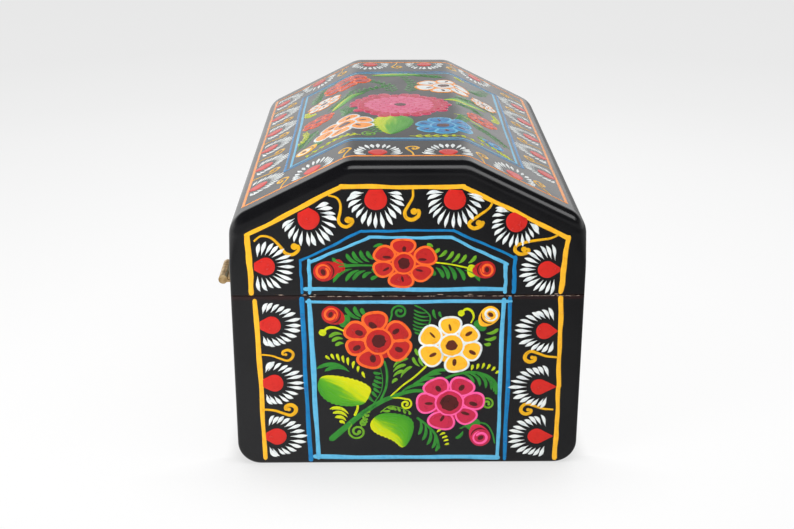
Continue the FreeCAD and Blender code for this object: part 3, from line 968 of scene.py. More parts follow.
# %% Greens of the bouquet
def bouquet_greens(face):
    """The ferns and single blades that fill the spaces behind the flowers."""
    stem(face, "green",
         [(2.2, 61.0), (5.2, 59.4), (7.4, 57.2), (7.5, 54.6), (6.0, 52.0)],
         start=0.32, end=0.3)
    blades(face, "green",
           [(6.6, 58.2), (7.3, 56.8), (7.5, 55.4), (7.2, 54.0), (6.6, 52.8), (5.8, 51.6), (4.9, 50.4)],
           [(2.0, 59.3), (1.9, 58.0), (1.8, 56.7), (1.7, 55.3), (1.6, 53.9), (1.7, 52.5), (2.3, 51.0)],
           bow=0.12, half=0.42)
    fern(face, "green",
         [(-12.3, 23.0), (-9.4, 28.0), (-8.7, 33.1), (-9.6, 38.2)],
         count=8, length=4.7, sides=(1,), lean=88, half=0.66)
    fern(face, "apple",
         [(-9.6, 20.2), (-6.4, 22.6), (-2.6, 22.0), (1.0, 20.4)],
         count=6, length=2.6, sides=(-1,), lean=60)
    fern(face, "apple",
         [(-16.4, 14.6), (-15.2, 17.0), (-14.0, 20.4)],
         count=5, length=1.9, lean=50, half=0.5)
    blades(face, "lime",
           [(-26.8, 40.8), (-25.3, 40.8), (-23.5, 40.2), (-22.0, 39.4), (-20.5, 38.5), (-19.0, 37.3),
            (-17.2, 35.9), (-14.8, 33.6)],
           [(-28.4, 42.3), (-26.4, 43.0), (-24.4, 43.0), (-22.4, 42.3), (-20.6, 41.6), (-18.5, 40.1),
            (-17.0, 38.3), (-15.7, 36.2)],
           bow=0.05, half=0.6)
    blades(face, "lime",
           [(22.0, 36.4), (23.8, 36.8), (25.6, 37.0), (27.4, 36.8), (29.0, 36.2), (30.4, 35.2)],
           [(22.4, 38.6), (24.4, 39.0), (26.4, 39.2), (28.4, 38.8), (30.2, 37.8), (31.6, 36.2)],
           bow=-0.1, half=0.58)
    blades(face, "lime",
           [(10.4, 12.2), (11.4, 11.0), (12.2, 9.8), (12.8, 8.6), (13.2, 7.2)],
           [(12.0, 13.4), (13.4, 12.0), (14.2, 10.6), (14.6, 9.2), (14.8, 7.6)],
           bow=0.1, half=0.5)
    blades(face, "green",
           [(-20.2, 36.1), (-20.2, 36.1)],
           [(-31.6, 37.2), (-28.8, 36.2)],
           bow=-0.2, half=0.9)
    blades(face, "lime",
           [(-20.7, 19.6), (-21.1, 18.4), (-21.6, 17.0), (-22.1, 15.8)],
           [(-27.3, 21.6), (-26.3, 20.0), (-25.5, 18.3), (-24.0, 16.6)],
           bow=-0.2, half=0.75)
    blades(face, "apple",
           [(-22.4, 50.2), (-22.2, 48.5), (-22.0, 46.8)],
           [(-27.0, 49.0), (-26.0, 47.5), (-24.8, 45.8)],
           bow=-0.2, half=0.8)
    blades(face, "green",
           [(-16.2, 56.0), (-15.6, 56.6), (-14.0, 57.2)],
           [(-21.4, 60.4), (-18.2, 60.6), (-15.8, 60.0)],
           bow=0.14, half=0.9)
    blades(face, "green", [(9.8, 55.8), (11.6, 56.4)], [(8.7, 59.4), (10.8, 58.6)], bow=0.1, half=0.6)
    blades(face, "apple",
           [(-5.0, 37.6), (-5.0, 35.9), (-5.0, 34.0), (-5.4, 31.4)],
           [(0.2, 41.0), (-0.5, 38.6), (-1.0, 36.3), (-3.4, 33.2)],
           bow=0.14, half=0.75)
    blades(face, "apple",
           [(-2.4, 33.6), (5.0, 41.4), (4.2, 38.0), (5.6, 38.0)],
           [(1.6, 38.0), (2.6, 44.8), (1.8, 41.6), (4.2, 41.8)],
           bow=0.12, half=0.7)
    blades(face, "green",
           [(-2.7, 27.6), (0.5, 29.4), (3.4, 31.8), (6.0, 34.0)],
           [(7.4, 31.0), (10.4, 33.4), (11.8, 35.2), (14.0, 36.4)],
           bow=0.13, half=0.74)
    stem(face, "green",
         [(12.6, 33.2), (17.4, 35.0), (22.6, 35.6), (27.6, 34.2), (30.6, 31.2), (31.1, 27.0)],
         start=0.5, end=0.8)
    blades(face, "green",
           [(19.2, 35.0), (21.4, 35.2), (23.6, 35.2), (25.8, 34.6), (28.0, 33.6)],
           [(23.0, 31.0), (25.2, 30.2), (27.3, 29.5), (29.2, 28.8), (30.0, 28.0)],
           bow=0.2, half=0.7)
    stem(face, "green", [(3.2, 18.2), (7.1, 14.8), (10.0, 11.0), (11.3, 5.6)], start=0.5, end=0.6)
    blades(face, "green",
           [(4.3, 17.2), (6.0, 15.6), (7.8, 13.6), (9.4, 11.6), (10.4, 9.4)],
           [(3.8, 11.2), (5.2, 9.0), (6.9, 7.2), (8.7, 5.8), (10.0, 4.6)],
           bow=0.14, half=0.72)
    blades(face, "apple",
           [(26.8, 50.4), (26.4, 48.2), (26.2, 46.4)],
           [(31.0, 52.2), (30.4, 49.2), (28.6, 46.6)],
           bow=-0.16, half=0.8)
    blades(face, "green", [(19.6, 12.8), (20.4, 14.0)], [(17.0, 9.8), (23.6, 16.8)], bow=0.15, half=0.75)


print("greens of the bouquet ready")

# %% [markdown]
# The thick stalk rises from the lower left corner and the thin ones branch off it towards their flowers.
# The two broad leaves and the tendrils hang on them. Each has its own bend, so their points are listed one
# by one.

# %% Stalks of the bouquet
def bouquet_stems(face):
    """The stalks, the two broad leaves and the tendrils."""
    stem(face, "green",
         [(-27.5, 9.2), (-22.4, 13.9), (-16.0, 19.7), (-9.6, 24.2), (-3.2, 27.1), (2.4, 28.6), (7.4, 28.2)],
         start=1.4, end=0.65, lift=0.07)
    stem(face, "green", [(-9.6, 24.6), (-7.5, 30.1), (-7.2, 35.7), (-8.1, 40.2)], start=0.5, end=0.45)
    stem(face, "lime",
         [(-6.2, 26.2), (-1.9, 30.5), (2.3, 33.9), (5.8, 37.4), (7.2, 39.2)],
         start=0.36, end=0.44)
    stem(face, "lime", [(-18.6, 18.9), (-17.5, 22.0), (-17.7, 24.6)], start=0.55, end=0.5)
    stem(face, "green",
         [(18.4, 13.6), (23.0, 15.8), (27.6, 15.4), (30.0, 11.8), (31.0, 7.6)],
         start=0.36, end=0.34)
    leaf(face, (-14.7, 24.2), (-30.6, 33.4), wide=6.7, bright_left=False, bright=0.17, skew=0.5)
    leaf(face, (-11.7, 18.2), (-0.6, 6.9), wide=6.2, bright_left=False, sway=0.21, bright=0.04)
    spiral(face, "green", (-2.8, 58.4), radius=2.8, turn=200, hand=-1, tail=(-6.4, 54.8))
    spiral(face, "apple", (-17.7, 12.7), radius=3.2, turn=130, turns=1.6, tail=(-20.6, 16.4))
    spiral(face, "lime", (-0.6, 23.4), radius=2.1, turn=60, turns=1.3, hand=-1, tail=(-6.0, 26.0))
    spiral(face, "apple", (28.0, 23.4), radius=2.3, turn=130, hand=-1)
    scroll(face,
           [(-21.4, 51.2), (-24.6, 52.7), (-27.4, 52.6), (-29.2, 50.9)],
           colour="lime", half=0.52, ball=1.3)
    scroll(face,
           [(21.6, 54.2), (22.5, 56.6), (21.6, 58.8), (19.8, 59.4), (18.2, 57.9)],
           colour="lime", half=0.5, ball=1.2)


print("stalks of the bouquet ready")

# %% [markdown]
# The flowers and buds come last, over all that is behind them. Petals could be spaced evenly, but on
# these large flowers each one points its own way, so their angles are listed.

# %% The whole bouquet
def bouquet(face):
    """The bouquet, about the middle of the panel's width and up from the foot of the box."""
    bouquet_greens(face)
    bouquet_stems(face)
    flower(face, (-10.0, 47.6), 11.6,
           [33, 99, 152, 199, 248, 332],
           "red", "orange", stretch=(1.05, 0.9), mark=0.12)
    flower(face, (15.1, 45.9), 11.5,
           [38, 95, 152, 211, 282, 342],
           "sun", "white", heart="brown", stretch=(1.0, 0.95), line_share=0.044, middle=0.36, eye=0.18,
           mark=0.08)
    flower(face, (14.7, 23.9), 11.6,
           [2, 58, 123, 183, 252, 314],
           "crimson", "pink", stretch=(1.02, 0.89), line_share=0.044, middle=0.41, eye=0.29, mark=0.1)
    bud(face, (-25.3, 57.1), 3.9, 153, "red", "orange")
    bud(face, (27.5, 56.5), 3.9, 50, "sun", "white", heart="brown")
    bud(face, (25.3, 11.2), 4.3, -62, "crimson", "pink")


print("bouquet ready")

# %% [markdown]
# ## The two ends
# An end has a yellow arch, an open row of rosettes inside it, and a double blue frame round the flowers.
# The arch and the frames cross the seam between base and lid, so each line is drawn in two parts, one on
# either side of the seam.

# %% The base's part of an end
seam_margin = 0.9


def base_end(face):
    """The base's part of an end."""
    top = base_rim - seam_margin
    line(face, "yellow", (-50.4, 1.6), (-51.8, top), half=0.94, lift=0.075)
    lines(face, "yellow", [(52.6, 1.6), (52.7, 30.0), (52.0, top)], half=0.92, lift=0.075)
    for right, up in [(-46.6, 53.7), (-46.4, 31.8), (-46.0, 10.9)]:
        rosette(face, (right, up), 0, gap=4.1, point=0.95)
    for right, up, point in [(47.0, 51.1, 0.5), (45.9, 29.9, 1.05), (45.6, 10.5, 1.1)]:
        rosette(face, (right, up), 180, gap=7.0, berry=3.05, point=point)
    border_scroll(face, (-50.9, 42.7), 0, half=0.56)
    border_scroll(face, (-50.5, 21.6), 0, half=0.8)
    border_scroll(face, (51.9, 41.2), 180, half=0.74)
    border_scroll(face, (51.2, 21.0), 180, half=0.7)
    lines(face, "blue", [(-34.5, 1.5), (-36.1, top)], half=0.9)
    lines(face, "blue", [(34.7, 1.5), (34.9, top)], half=0.8)
    line(face, "sky", (-31.5, 1.6), (-33.6, top), half=0.95, lift=0.08)
    line(face, "sky", (32.0, 1.5), (32.5, top), half=0.8, lift=0.08)
    line(face, "sky", (-34.8, 62.2), (35.6, 62.2), half=0.7, lift=0.085)
    line(face, "sky", (-33.6, 2.7), (33.0, 2.1), half=0.92, lift=0.085)
    bouquet(face)


print("margin of the upright lines at the seam:", seam_margin, "mm")

# %% [markdown]
# In the lid's frame is a small spray: one red flower between two buds, with leaflets to either side of
# it. They could be ferns, but they follow no even rule, so they are single blades.

# %% Spray on the lid's end
def lid_spray(face):
    """The small flower, two buds and the ferns inside the lid's frame."""
    blades(face, "green",
           [(-20.7, 76.1), (-16.6, 76.3), (-15.0, 76.5), (-12.9, 76.7), (-11.2, 77.6)],
           [(-25.5, 78.3), (-20.7, 79.7), (-18.5, 80.6), (-16.0, 80.9), (-13.7, 80.7)],
           bow=0.15, half=0.82)
    blades(face, "green",
           [(-18.8, 74.2), (-16.4, 73.8), (-14.2, 73.6), (-12.2, 73.0), (-10.0, 71.4)],
           [(-25.2, 69.3), (-20.9, 69.7), (-18.5, 70.1), (-15.2, 70.8), (-12.4, 70.2)],
           bow=-0.15, half=0.8)
    blades(face, "green", [(-11.6, 82.0), (-9.2, 72.4)], [(-8.2, 82.4), (-12.0, 74.6)], bow=0.14, half=0.75)
    blades(face, "apple",
           [(8.4, 82.0), (7.6, 79.6), (10.2, 78.4), (12.6, 77.2), (14.6, 76.4), (17.0, 76.1), (20.2, 76.1)],
           [(6.2, 82.8), (10.6, 81.5), (12.9, 80.9), (15.1, 80.5), (17.2, 79.7), (19.4, 79.3),
            (22.8, 78.9)],
           bow=-0.1, half=0.74)
    blades(face, "green",
           [(7.9, 73.8), (9.3, 74.6), (11.2, 75.4), (13.4, 75.2), (16.0, 74.6), (19.0, 73.6)],
           [(8.8, 71.6), (11.9, 70.8), (13.6, 70.3), (15.9, 70.0), (19.0, 69.8), (24.3, 69.6)],
           bow=0.14, half=0.84)
    stem(face, "green", [(-24.2, 75.0), (-18.0, 75.5), (-10.0, 75.4)], start=0.85, end=0.28)
    stem(face, "lime", [(7.6, 76.6), (14.0, 75.8), (20.6, 74.3)], start=0.3, end=0.34)
    flower(face, (-1.4, 76.2), 9.8,
           [20, 90, 148, 199, 262, 322],
           "red", "orange", stretch=(1.08, 0.85), middle=0.37)
    bud(face, (-27.4, 73.6), 4.2, 200, "red", "orange", calyx="red")
    bud(face, (25.5, 73.7), 3.7, 5, "red", "orange", calyx="lime")


print("spray of the lid's end ready")

# %% [markdown]
# The lid's part of an end has the top of the arch, with six rosettes that point in from it. They could be
# spaced evenly along it, but the painter spaced them by eye, so each has its own place, aim and size, and
# each scroll its own curve.

# %% The lid's part of an end
def lid_end(face):
    """The lid's part of an end."""
    foot = lid_rim + seam_margin
    lines(face, "yellow", [(-52.9, foot), (-53.5, 86.3)], half=1.08, lift=0.075)
    lines(face, "yellow",
          [(-53.8, 86.3), (-22.2, 103.1), (18.4, 102.9), (53.6, 85.0)],
          half=0.88, lift=0.075)
    lines(face, "yellow", [(53.4, 85.2), (51.8, foot)], half=1.0, lift=0.075)
    arch = [((-47.8, 75.2), 0, 4.2, 3.4, 0.95), ((-33.0, 91.9), -62, 3.6, 3.7, 1.0),
            ((-10.7, 98.7), -90, 3.5, 3.8, 1.0), ((15.4, 98.6), -94, 3.4, 3.7, 1.0),
            ((36.0, 90.7), -119, 3.2, 4.0, 0.9), ((46.8, 73.7), 180, 4.9, 3.3, 0.94)]
    for centre, aim, gap, berry, size in arch:
        rosette(face, centre, aim, gap, berry, size, clear=0.8, point=0.9, stream=0.66, trim=0.12)
    scroll(face,
           [(-51.4, 84.2), (-49.0, 86.0), (-45.7, 85.4), (-42.9, 82.6), (-40.9, 79.9), (-38.5, 79.5),
            (-36.7, 81.0), (-36.7, 82.5), (-38.0, 82.3)],
           half=0.62)
    scroll(face,
           [(-26.4, 100.2), (-23.6, 99.3), (-22.4, 97.1), (-22.5, 94.3), (-23.1, 91.6), (-22.2, 89.8),
            (-20.3, 89.2), (-18.5, 90.6), (-18.7, 92.0), (-19.9, 91.6)],
           half=0.62)
    scroll(face,
           [(1.5, 102.3), (1.5, 99.5), (0.1, 96.7), (-1.1, 94.3), (-0.6, 92.3), (1.3, 91.6), (3.3, 92.8),
            (3.5, 94.8), (1.9, 94.5)],
           half=0.72, ball=1.15)
    scroll(face,
           [(28.0, 97.8), (26.7, 95.5), (23.5, 93.0), (20.8, 91.0), (20.3, 89.6), (21.9, 88.5),
            (24.2, 89.3), (24.9, 90.6), (23.5, 90.4)],
           half=0.7, ball=1.05)
    scroll(face,
           [(50.6, 86.4), (47.6, 84.9), (42.8, 84.2), (38.8, 83.4), (36.2, 82.2), (35.9, 80.5),
            (37.6, 79.3), (40.0, 79.8), (40.4, 81.0), (38.8, 81.0)],
           half=0.68, ball=1.0)
    lines(face, "blue",
          [(-35.9, foot), (-36.1, 77.1), (-15.5, 87.7), (15.0, 87.8), (36.0, 78.0)],
          half=0.52)
    lines(face, "blue", [(36.0, 78.2), (35.8, foot)], half=0.8)
    lines(face, "sky", [(-33.2, foot), (-33.2, 77.4)], half=0.72, lift=0.08)
    lines(face, "sky", [(-33.0, 76.6), (-13.1, 85.4), (14.6, 85.3), (33.4, 75.6)], half=0.62, lift=0.08)
    lines(face, "sky", [(32.9, 76.0), (32.9, foot)], half=0.75, lift=0.08)
    line(face, "sky", (-35.4, 66.9), (33.5, 66.6), half=0.8, lift=0.085)
    lid_spray(face)


for ending in (near_end, far_end):
    base_end(Face("base", ending))
    lid_end(Face("lid", ending))
print("pots after the ends:", len(pots), "batches:", sum(len(batches) for batches in pots.values()))

# %% [markdown]
# ## The long sides
# The photograph shows one end, so the long sides are worked out from it: the same yellow border with
# rosettes up both sides, a row of rosettes under the lid's shoulder, and the bouquet twice inside the
# blue frame, mirrored so that both stems rise from the outer corners. Front and back are alike, apart
# from the hardware.

# %% Paint the front and back
def base_side(face):
    """The base's part of a long side."""
    top = base_rim - seam_margin
    for side in (-1, 1):
        line(face, "yellow", (side * 77.0, 0.9), (side * 77.2, top), half=0.94, lift=0.075)
        line(face, "blue", (side * 60.6, 0.5), (side * 60.4, top), half=0.85)
        line(face, "sky", (side * 58.0, 0.9), (side * 58.2, top), half=0.85, lift=0.08)
        for up in (53.4, 31.6, 11.0):
            rosette(face, (side * 72.0, up), 90 + 90 * side)
        for up in (42.6, 21.0):
            border_scroll(face, (side * 77.0, up), 90 + 90 * side, flip=side > 0)
    line(face, "sky", (-60.0, 62.3), (60.0, 62.2), half=0.7, lift=0.085)
    line(face, "sky", (-59.4, 2.4), (59.6, 2.1), half=0.9, lift=0.085)
    for side in (-1, 1):
        bouquet(moved(face, right=28.6 * side, up=3.6, scale=0.86, mirror=side > 0))


def lid_side(face):
    """The lid's upright part of a long side."""
    foot = lid_rim + seam_margin
    lines(face, "yellow", [(-77.2, foot), (-77.0, 84.6), (77.0, 84.4), (77.2, foot)], half=0.95, lift=0.075)
    for right in np.linspace(-66, 66, 7):
        rosette(face, (right, 79.8), -90, gap=3.9, size=0.94)
    for right in np.linspace(-55, 55, 6):
        border_scroll(face, (right, 84.2), -90, flip=right > 0, size=0.85)
    line(face, "blue", (-60.4, 67.9), (60.4, 67.8), half=0.5)
    line(face, "sky", (-60.6, 66.1), (60.4, 66.0), half=0.52)


for side_face in (front_side, back_side):
    base_side(Face("base", side_face))
    lid_side(Face("lid", side_face))
print("pots after the long sides:", len(pots))

# %% [markdown]
# ## The lid's top
# Seen from the end the top is strongly foreshortened, but the large flower in the middle is plainly
# round, and that fixes how far apart the other flowers stand. An orange line runs round the edge,
# rosettes point inwards from it, and a double blue frame holds the flowers.

# %% Border of the lid's top
top_right = 58.8
top_up = 75.0
frame_right = 44.2
frame_up = 55.2
frame_gap = 2.3
top_shift = -1.0
berry_inset = 4.5
last_scroll = 30.0


def corners_of(right, up):
    """The corners of a rectangle that stands a little off the middle, closed."""
    left, right = top_shift - right, top_shift + right
    return [(left, -up), (right, -up), (right, up), (left, up), (left, -up)]


def top_border(face):
    """Line, rosettes and scrolls round the edge of the top. Each row is spaced on its own, so one corner
    has a rosette and the next a scroll."""
    lines(face, "amber", corners_of(top_right, top_up), half=0.72, lift=0.075)
    lines(face, "blue", corners_of(frame_right, frame_up), half=0.62)
    lines(face, "sky", corners_of(frame_right - frame_gap, frame_up - frame_gap), half=0.6, lift=0.08)
    for end in (-1, 1):
        for right in (-38.2, -13.8, 10.0, 33.5):
            rosette(face, (end * right, end * (top_up - berry_inset)), -90 * end)
        for right in (-26.3, -2.0, 21.6, 45.4):
            # At the far right corner a scroll of the right-hand row takes this place.
            if end * right < last_scroll:
                border_scroll(face, (end * right, end * top_up), -90 * end, flip=end * right > 0)
    border_scroll(face, (52.0, -top_up), 112, flip=True)
    for side, ups in ((-1, np.linspace(-58.0, 64.0, 6)), (1, np.linspace(-47.6, 52.8, 5))):
        edge = top_shift + side * top_right
        aim = 90 + 90 * side
        for up in ups:
            rosette(face, (edge - side * berry_inset, up), aim)
        for up in (ups[:-1] + ups[1:]) / 2:
            border_scroll(face, (edge, up), aim, flip=side > 0)
    border_scroll(face, (top_shift + top_right, 65.0), 180)


print("the frame on the top is", 2 * frame_right, "by", 2 * frame_up, "mm")

# %% [markdown]
# The frame is filled from the back forwards, as a painter would: ferns first, then leaves and tendrils,
# then the small flowers and buds, and the large flowers over them. The flowers here have evenly spaced
# petals, because at this slant one can't tell how each petal points.

# %% Flowers of the lid's top
def top_greens(face):
    """Ferns, leaves and tendrils that fill the frame round the flowers."""
    green_spines = [
        [(-21, 12), (-15, 22), (-5, 31)], [(-4, 17), (-7, 31), (-15, 41)], [(2, 17), (4, 31), (1, 45)],
        [(-31, 6), (-25, 12), (-21, 22)], [(20, 10), (27, 15), (37, 13)], [(27, 33), (33, 39), (37, 49)],
        [(-38, 29), (-37, 38), (-35, 49)], [(24, -24), (32, -28), (38, -35)],
        [(-34, -17), (-38, -25), (-40, -33)], [(18, 44), (10, 48), (0, 52)],
        [(-12, -22), (-12, -34), (-10, -44)], [(24, -14), (22, -21), (20, -27)],
        [(-23, -16), (-22, -10), (-24, -2)], [(20, -2), (24, 2), (30, 0)],
    ]
    for spine in green_spines:
        fern(face, "green", spine, count=8, length=4.6, lean=50, half=0.55)
    lime_spines = [
        [(-16, -48), (-26, -45), (-37, -49)], [(1, -50), (14, -49.5), (28, -49)],
        [(26, -42), (34, -48), (38, -51)], [(-42, -28), (-39, -20), (-40, -12)],
        [(36, -4), (38, 2), (37, 8)], [(-36, 10), (-40, 14), (-41, 20)],
    ]
    for spine in lime_spines:
        fern(face, "lime", spine, count=8, length=2.6, lean=50, half=0.5)
    blades(face, "lime", [(18.4, -18.0)], [(30.2, -22.6)], bow=0.08, half=0.8)
    leaf(face, (-4.0, -20.0), (-5.4, -47.4), wide=8.0, bright_left=False, bright=0.06, belly=0.66,
         blunt=0.66)
    leaf(face, (-29.0, 1.0), (-16.0, 16.0), wide=3.2, sway=0.05, bright=0.06, blunt=0.8)
    leaf(face, (15.5, 4.4), (34.0, 8.8), wide=3.0, bright_left=False, sway=0.05, bright=0.06, blunt=0.8)
    leaf(face, (-13.0, 48.4), (8.0, 48.8), wide=2.8, sway=0.05, bright=0.06, blunt=0.8)
    spiral(face, "apple", (-13.0, -46.4), radius=3.0, turn=90, turns=1.5)
    spiral(face, "lime", (24.0, 49.0), radius=2.6, turn=20, hand=-1)


def top_flowers(face):
    """The flowers inside the frame: the small ones and two buds, then the large ones round the middle."""
    bud(face, (-37.4, -40.5), 4.4, 215, "sun", "white", heart="brown")
    bud(face, (32.4, -42.0), 4.2, -25, "blue", "sky")
    flower(face, (-34.6, -4.2), 7.0, around(20), "red", "orange")
    flower(face, (30.4, -10.8), 6.6, around(50), "red", "orange")
    flower(face, (-33.2, 21.6), 7.6, around(30), "white", "apricot", heart="brown")
    flower(face, (33.6, 19.6), 6.2, around(60), "white", "apricot", heart="brown")
    flower(face, (-24.0, 41.2), 10.2, around(100), "red", "orange")
    flower(face, (16.6, 28.6), 11.4, around(80), "white", "apricot", heart="brown")
    flower(face, (-22.6, -29.6), 11.4, around(80), "apricot", "white", heart="brown", line_share=0.05)
    flower(face, (13.6, -35.6), 11.4, around(95), "blue", "sky", line_share=0.05)
    dahlia(face, (-1.6, -4.0), 18.9)


top_face = Face("lid", lid_top)
top_border(top_face)
top_greens(top_face)
top_flowers(top_face)
print("pots after the lid's top:", sorted(pots))

# %% [markdown]
# ## Chips along the seam
# Where the lid meets the base the lacquer has flaked in places and pale wood shows. A mask in the
# lacquer's finish could show it, but flakes have sharp edges, so they are small rough patches laid along
# the rims.

# %% Chips
rim_inset = 0.16


def chips(face, start, end, level, count):
    """Thin pale flakes along a rim: flat ovals of random length and place."""
    points = 14
    angle = np.linspace(0, 2 * math.pi, points, endpoint=False)
    right = chance.uniform(start, end, (count, 1))
    long = chance.uniform(0.2, 1.1, (count, 1))
    high = chance.uniform(0.07, 0.15, (count, 1))
    rough = 1 + 0.2 * chance.normal(0, 1, (count, points))
    rims = np.stack([right + long * np.cos(angle) * rough, level + high * np.sin(angle) * rough], -1)
    fill(face, "chip", rims, lift=0.02)


base_level = base_rim - rim_inset
lid_level = lid_rim + rim_inset
for ending in (near_end, far_end):
    chips(Face("base", ending), -34, half_width - 3, base_level, count=62)
    chips(Face("base", ending), 34, half_width - 2, base_level, count=30)
    chips(Face("lid", ending), -half_width + 4, half_width - 4, lid_level, count=6)
for side_face in (front_side, back_side):
    chips(Face("base", side_face), -half_length + 4, half_length - 4, base_level, count=60)
    chips(Face("lid", side_face), -half_length + 4, half_length - 4, lid_level, count=6)
print("chips laid on both rims")

# %% [markdown]
# ## Paint
# The paint is opaque and nearly as glossy as the lacquer. A single colour for each paint would look
# printed, because brushed paint is never quite even: streaks run along the brush map, thinner paint is
# darker, and the streaks catch the light as fine ridges.

# %% Mix the paints
def paint_finish(name, thin, full):
    """Hand-mixed paint: thin and full colour in streaks along the stroke and soft clouds."""
    finish, tree, shader = new_finish("paint_" + name)
    brush = node(tree, "ShaderNodeUVMap", uv_map="brush").outputs["UV"]
    streak = speckle(tree, 3.0, stretch=(1.2, 5, 1), detail=3.0, source=brush)
    cloud = speckle(tree, 520, detail=3.0)
    both = arithmetic(tree, "ADD", streak, cloud)
    tree.links.new(ramp(tree, both, [(0.68, thin), (0.98, full)]), shader.inputs["Base Color"])
    tree.links.new(between(tree, cloud, 0.28, 0.16), shader.inputs["Roughness"])
    shader.inputs["Specular IOR Level"].default_value = 0.4
    dented(tree, shader, both, depth=0.00003, strength=0.3)
    return finish


def leaf_finish():
    """Two greens side by side: the map across the leaf, stirred by streaks, picks the tone, and the bright
    side narrows with the square of the way to the tip."""
    finish, tree, shader = new_finish("paint_leaf")
    brush = node(tree, "ShaderNodeUVMap", uv_map="brush").outputs["UV"]
    place = node(tree, "ShaderNodeSeparateXYZ", {"Vector": brush})
    streak = speckle(tree, 1.0, stretch=(2.5, 11, 1), detail=4.0, source=brush)
    stir = between(tree, streak, -0.14, 0.14)
    far = arithmetic(tree, "POWER", place.outputs["X"], 2.0)
    narrowed = arithmetic(tree, "MULTIPLY_ADD", far, -0.3, place.outputs["Y"])
    tone = arithmetic(tree, "ADD", narrowed, stir)
    stops = [(0.0, tint(58, 146, 32)), (0.4, tint(84, 166, 30)), (0.56, tint(118, 180, 18)),
             (0.68, tint(180, 206, 2)), (0.92, tint(212, 214, 2))]
    tree.links.new(ramp(tree, tone, stops), shader.inputs["Base Color"])
    tree.links.new(between(tree, streak, 0.32, 0.2), shader.inputs["Roughness"])
    shader.inputs["Specular IOR Level"].default_value = 0.35
    dented(tree, shader, streak, depth=0.00004, strength=0.35)
    return finish


print("finishes for paint and leaves ready")

# %% [markdown]
# ## Colours
# Each paint has two tones, one where it is thin and one where it is full. The marks could each be a piece
# of their own, but there are thousands, so each pot becomes one piece, and a colour is changed in one
# place.

# %% Fill the pots
paint_colours = {
    "berry": (tint(194, 27, 21), tint(211, 37, 29)),
    "red": (tint(160, 21, 24), tint(192, 33, 31)),
    "orange": (tint(234, 82, 22), tint(250, 106, 38)),
    "amber": (tint(226, 120, 22), tint(246, 146, 36)),
    "yellow": (tint(236, 162, 18), tint(251, 187, 40)),
    "gold": (tint(190, 136, 6), tint(236, 176, 16)),
    "sun": (tint(242, 164, 14), tint(254, 188, 40)),
    "white": (tint(188, 200, 206), tint(234, 238, 236)),
    "sky": (tint(62, 155, 202), tint(96, 182, 220)),
    "blue": (tint(4, 94, 158), tint(10, 124, 184)),
    "crimson": (tint(168, 21, 57), tint(201, 37, 73)),
    "pink": (tint(240, 70, 150), tint(255, 98, 168)),
    "rose": (tint(206, 70, 118), tint(228, 100, 142)),
    "apricot": (tint(238, 128, 30), tint(252, 158, 62)),
    "green": (tint(22, 96, 32), tint(48, 136, 44)),
    "apple": (tint(70, 138, 22), tint(110, 168, 34)),
    "lime": (tint(146, 178, 2), tint(206, 214, 4)),
    "maroon": (tint(52, 12, 14), tint(84, 24, 24)),
    "brown": (tint(70, 26, 12), tint(96, 40, 20)),
    "chip": (tint(128, 92, 74), tint(206, 184, 166)),
}
finishes = {name: paint_finish(name, thin, full) for name, (thin, full) in paint_colours.items()}
finishes["leaf"] = leaf_finish()

for (body, colour), batches in sorted(pots.items()):
    maps = leaf_maps[body] if colour == "leaf" else None
    piece = build_piece(body + "_paint_" + colour, batches, body, finishes[colour], maps)
    print(piece.name, len(piece.data.polygons), "faces")

# %% [markdown]
# ## The floor
# The box stands on a plain white studio floor. A floor lit by lamps alone would show a pool of light under
# each of them. So most of what is seen of it is a glow with painted light and shade: a painted fall-off,
# white round the box and pale grey further away, and a painted shadow where the box closes it in. Only a
# share near the box is lit, to take the box's shadow. The lacquer is nearly a mirror at a grazing angle, so
# what it mirrors of the floor is given a tone of its own, as a table has that ends not far from the box.

# %% Glow of the floor
def grey_ramp(tree, source, greys):
    """Greys blended over a value: greys are (place, share of white)."""
    return ramp(tree, source, [(place, (grey, grey, grey, 1)) for place, grey in greys])


def dimmed_glow(tree, colour, share):
    """An even glow of a colour, dimmed to a share."""
    dimmed = node(tree, "ShaderNodeVectorMath", {0: colour, "Scale": share}, operation="SCALE")
    return node(tree, "ShaderNodeEmission", {"Color": dimmed.outputs["Vector"]}).outputs[0]


def seen_glow(tree, along, away):
    """What is seen of the floor: a painted fall-off of light, white round the box and pale grey far off,
    and a painted shadow where the box closes it in. The painted shadow reaches further in front of the near
    end than elsewhere, where it also stands for the box's reflection in the floor."""
    # Painted fall-off of light: white round the box, pale grey far off.
    greys = [(0.08, 1.0), (0.16, 0.99), (0.3, 0.935), (0.5, 0.86), (0.68, 0.82), (1.0, 0.805)]
    # Painted shadow: ambient occlusion darkens the glow near the box, further in front of the near end.
    reach = between(tree, along, 0.045, 0.008, start=-0.095, end=-0.08)
    shadow_probe = node(tree, "ShaderNodeAmbientOcclusion", {"Distance": reach}, samples=8)
    painted_shadow_share = between(tree, shadow_probe.outputs["AO"], 0.74, 1.0, start=0.45, end=0.95)
    return dimmed_glow(tree, grey_ramp(tree, away, greys), painted_shadow_share)


def mirrored_glow(tree, along, across):
    """What is mirrored of the floor: darker towards the camera, where the table ends, and towards the front
    of the box."""
    greys = [(0.0, 0.32), (0.2, 0.56), (0.3, 0.76), (0.42, 0.82), (1.0, 0.86)]
    colour = grey_ramp(tree, between(tree, along, 0, 1, start=-0.5, end=0.5), greys)
    return dimmed_glow(tree, colour, between(tree, across, 0.36, 0.84, start=-0.09, end=0.09))


print("glows of the floor ready")

# %% [markdown]
# A ray from the camera sees the first glow, with a little of the lit floor near the box. A ray that comes
# off the lacquer or the brass sees the second. All other rays meet the plain lit floor, which throws soft
# light back at the box. The floor itself is a flat grid just under the coat.

# %% Studio floor
def mirror_rays(tree, path):
    """One for rays that come off a shiny or through a clear surface, and nought for all others."""
    return arithmetic(tree, "MAXIMUM", path.outputs["Is Glossy Ray"], path.outputs["Is Transmission Ray"])


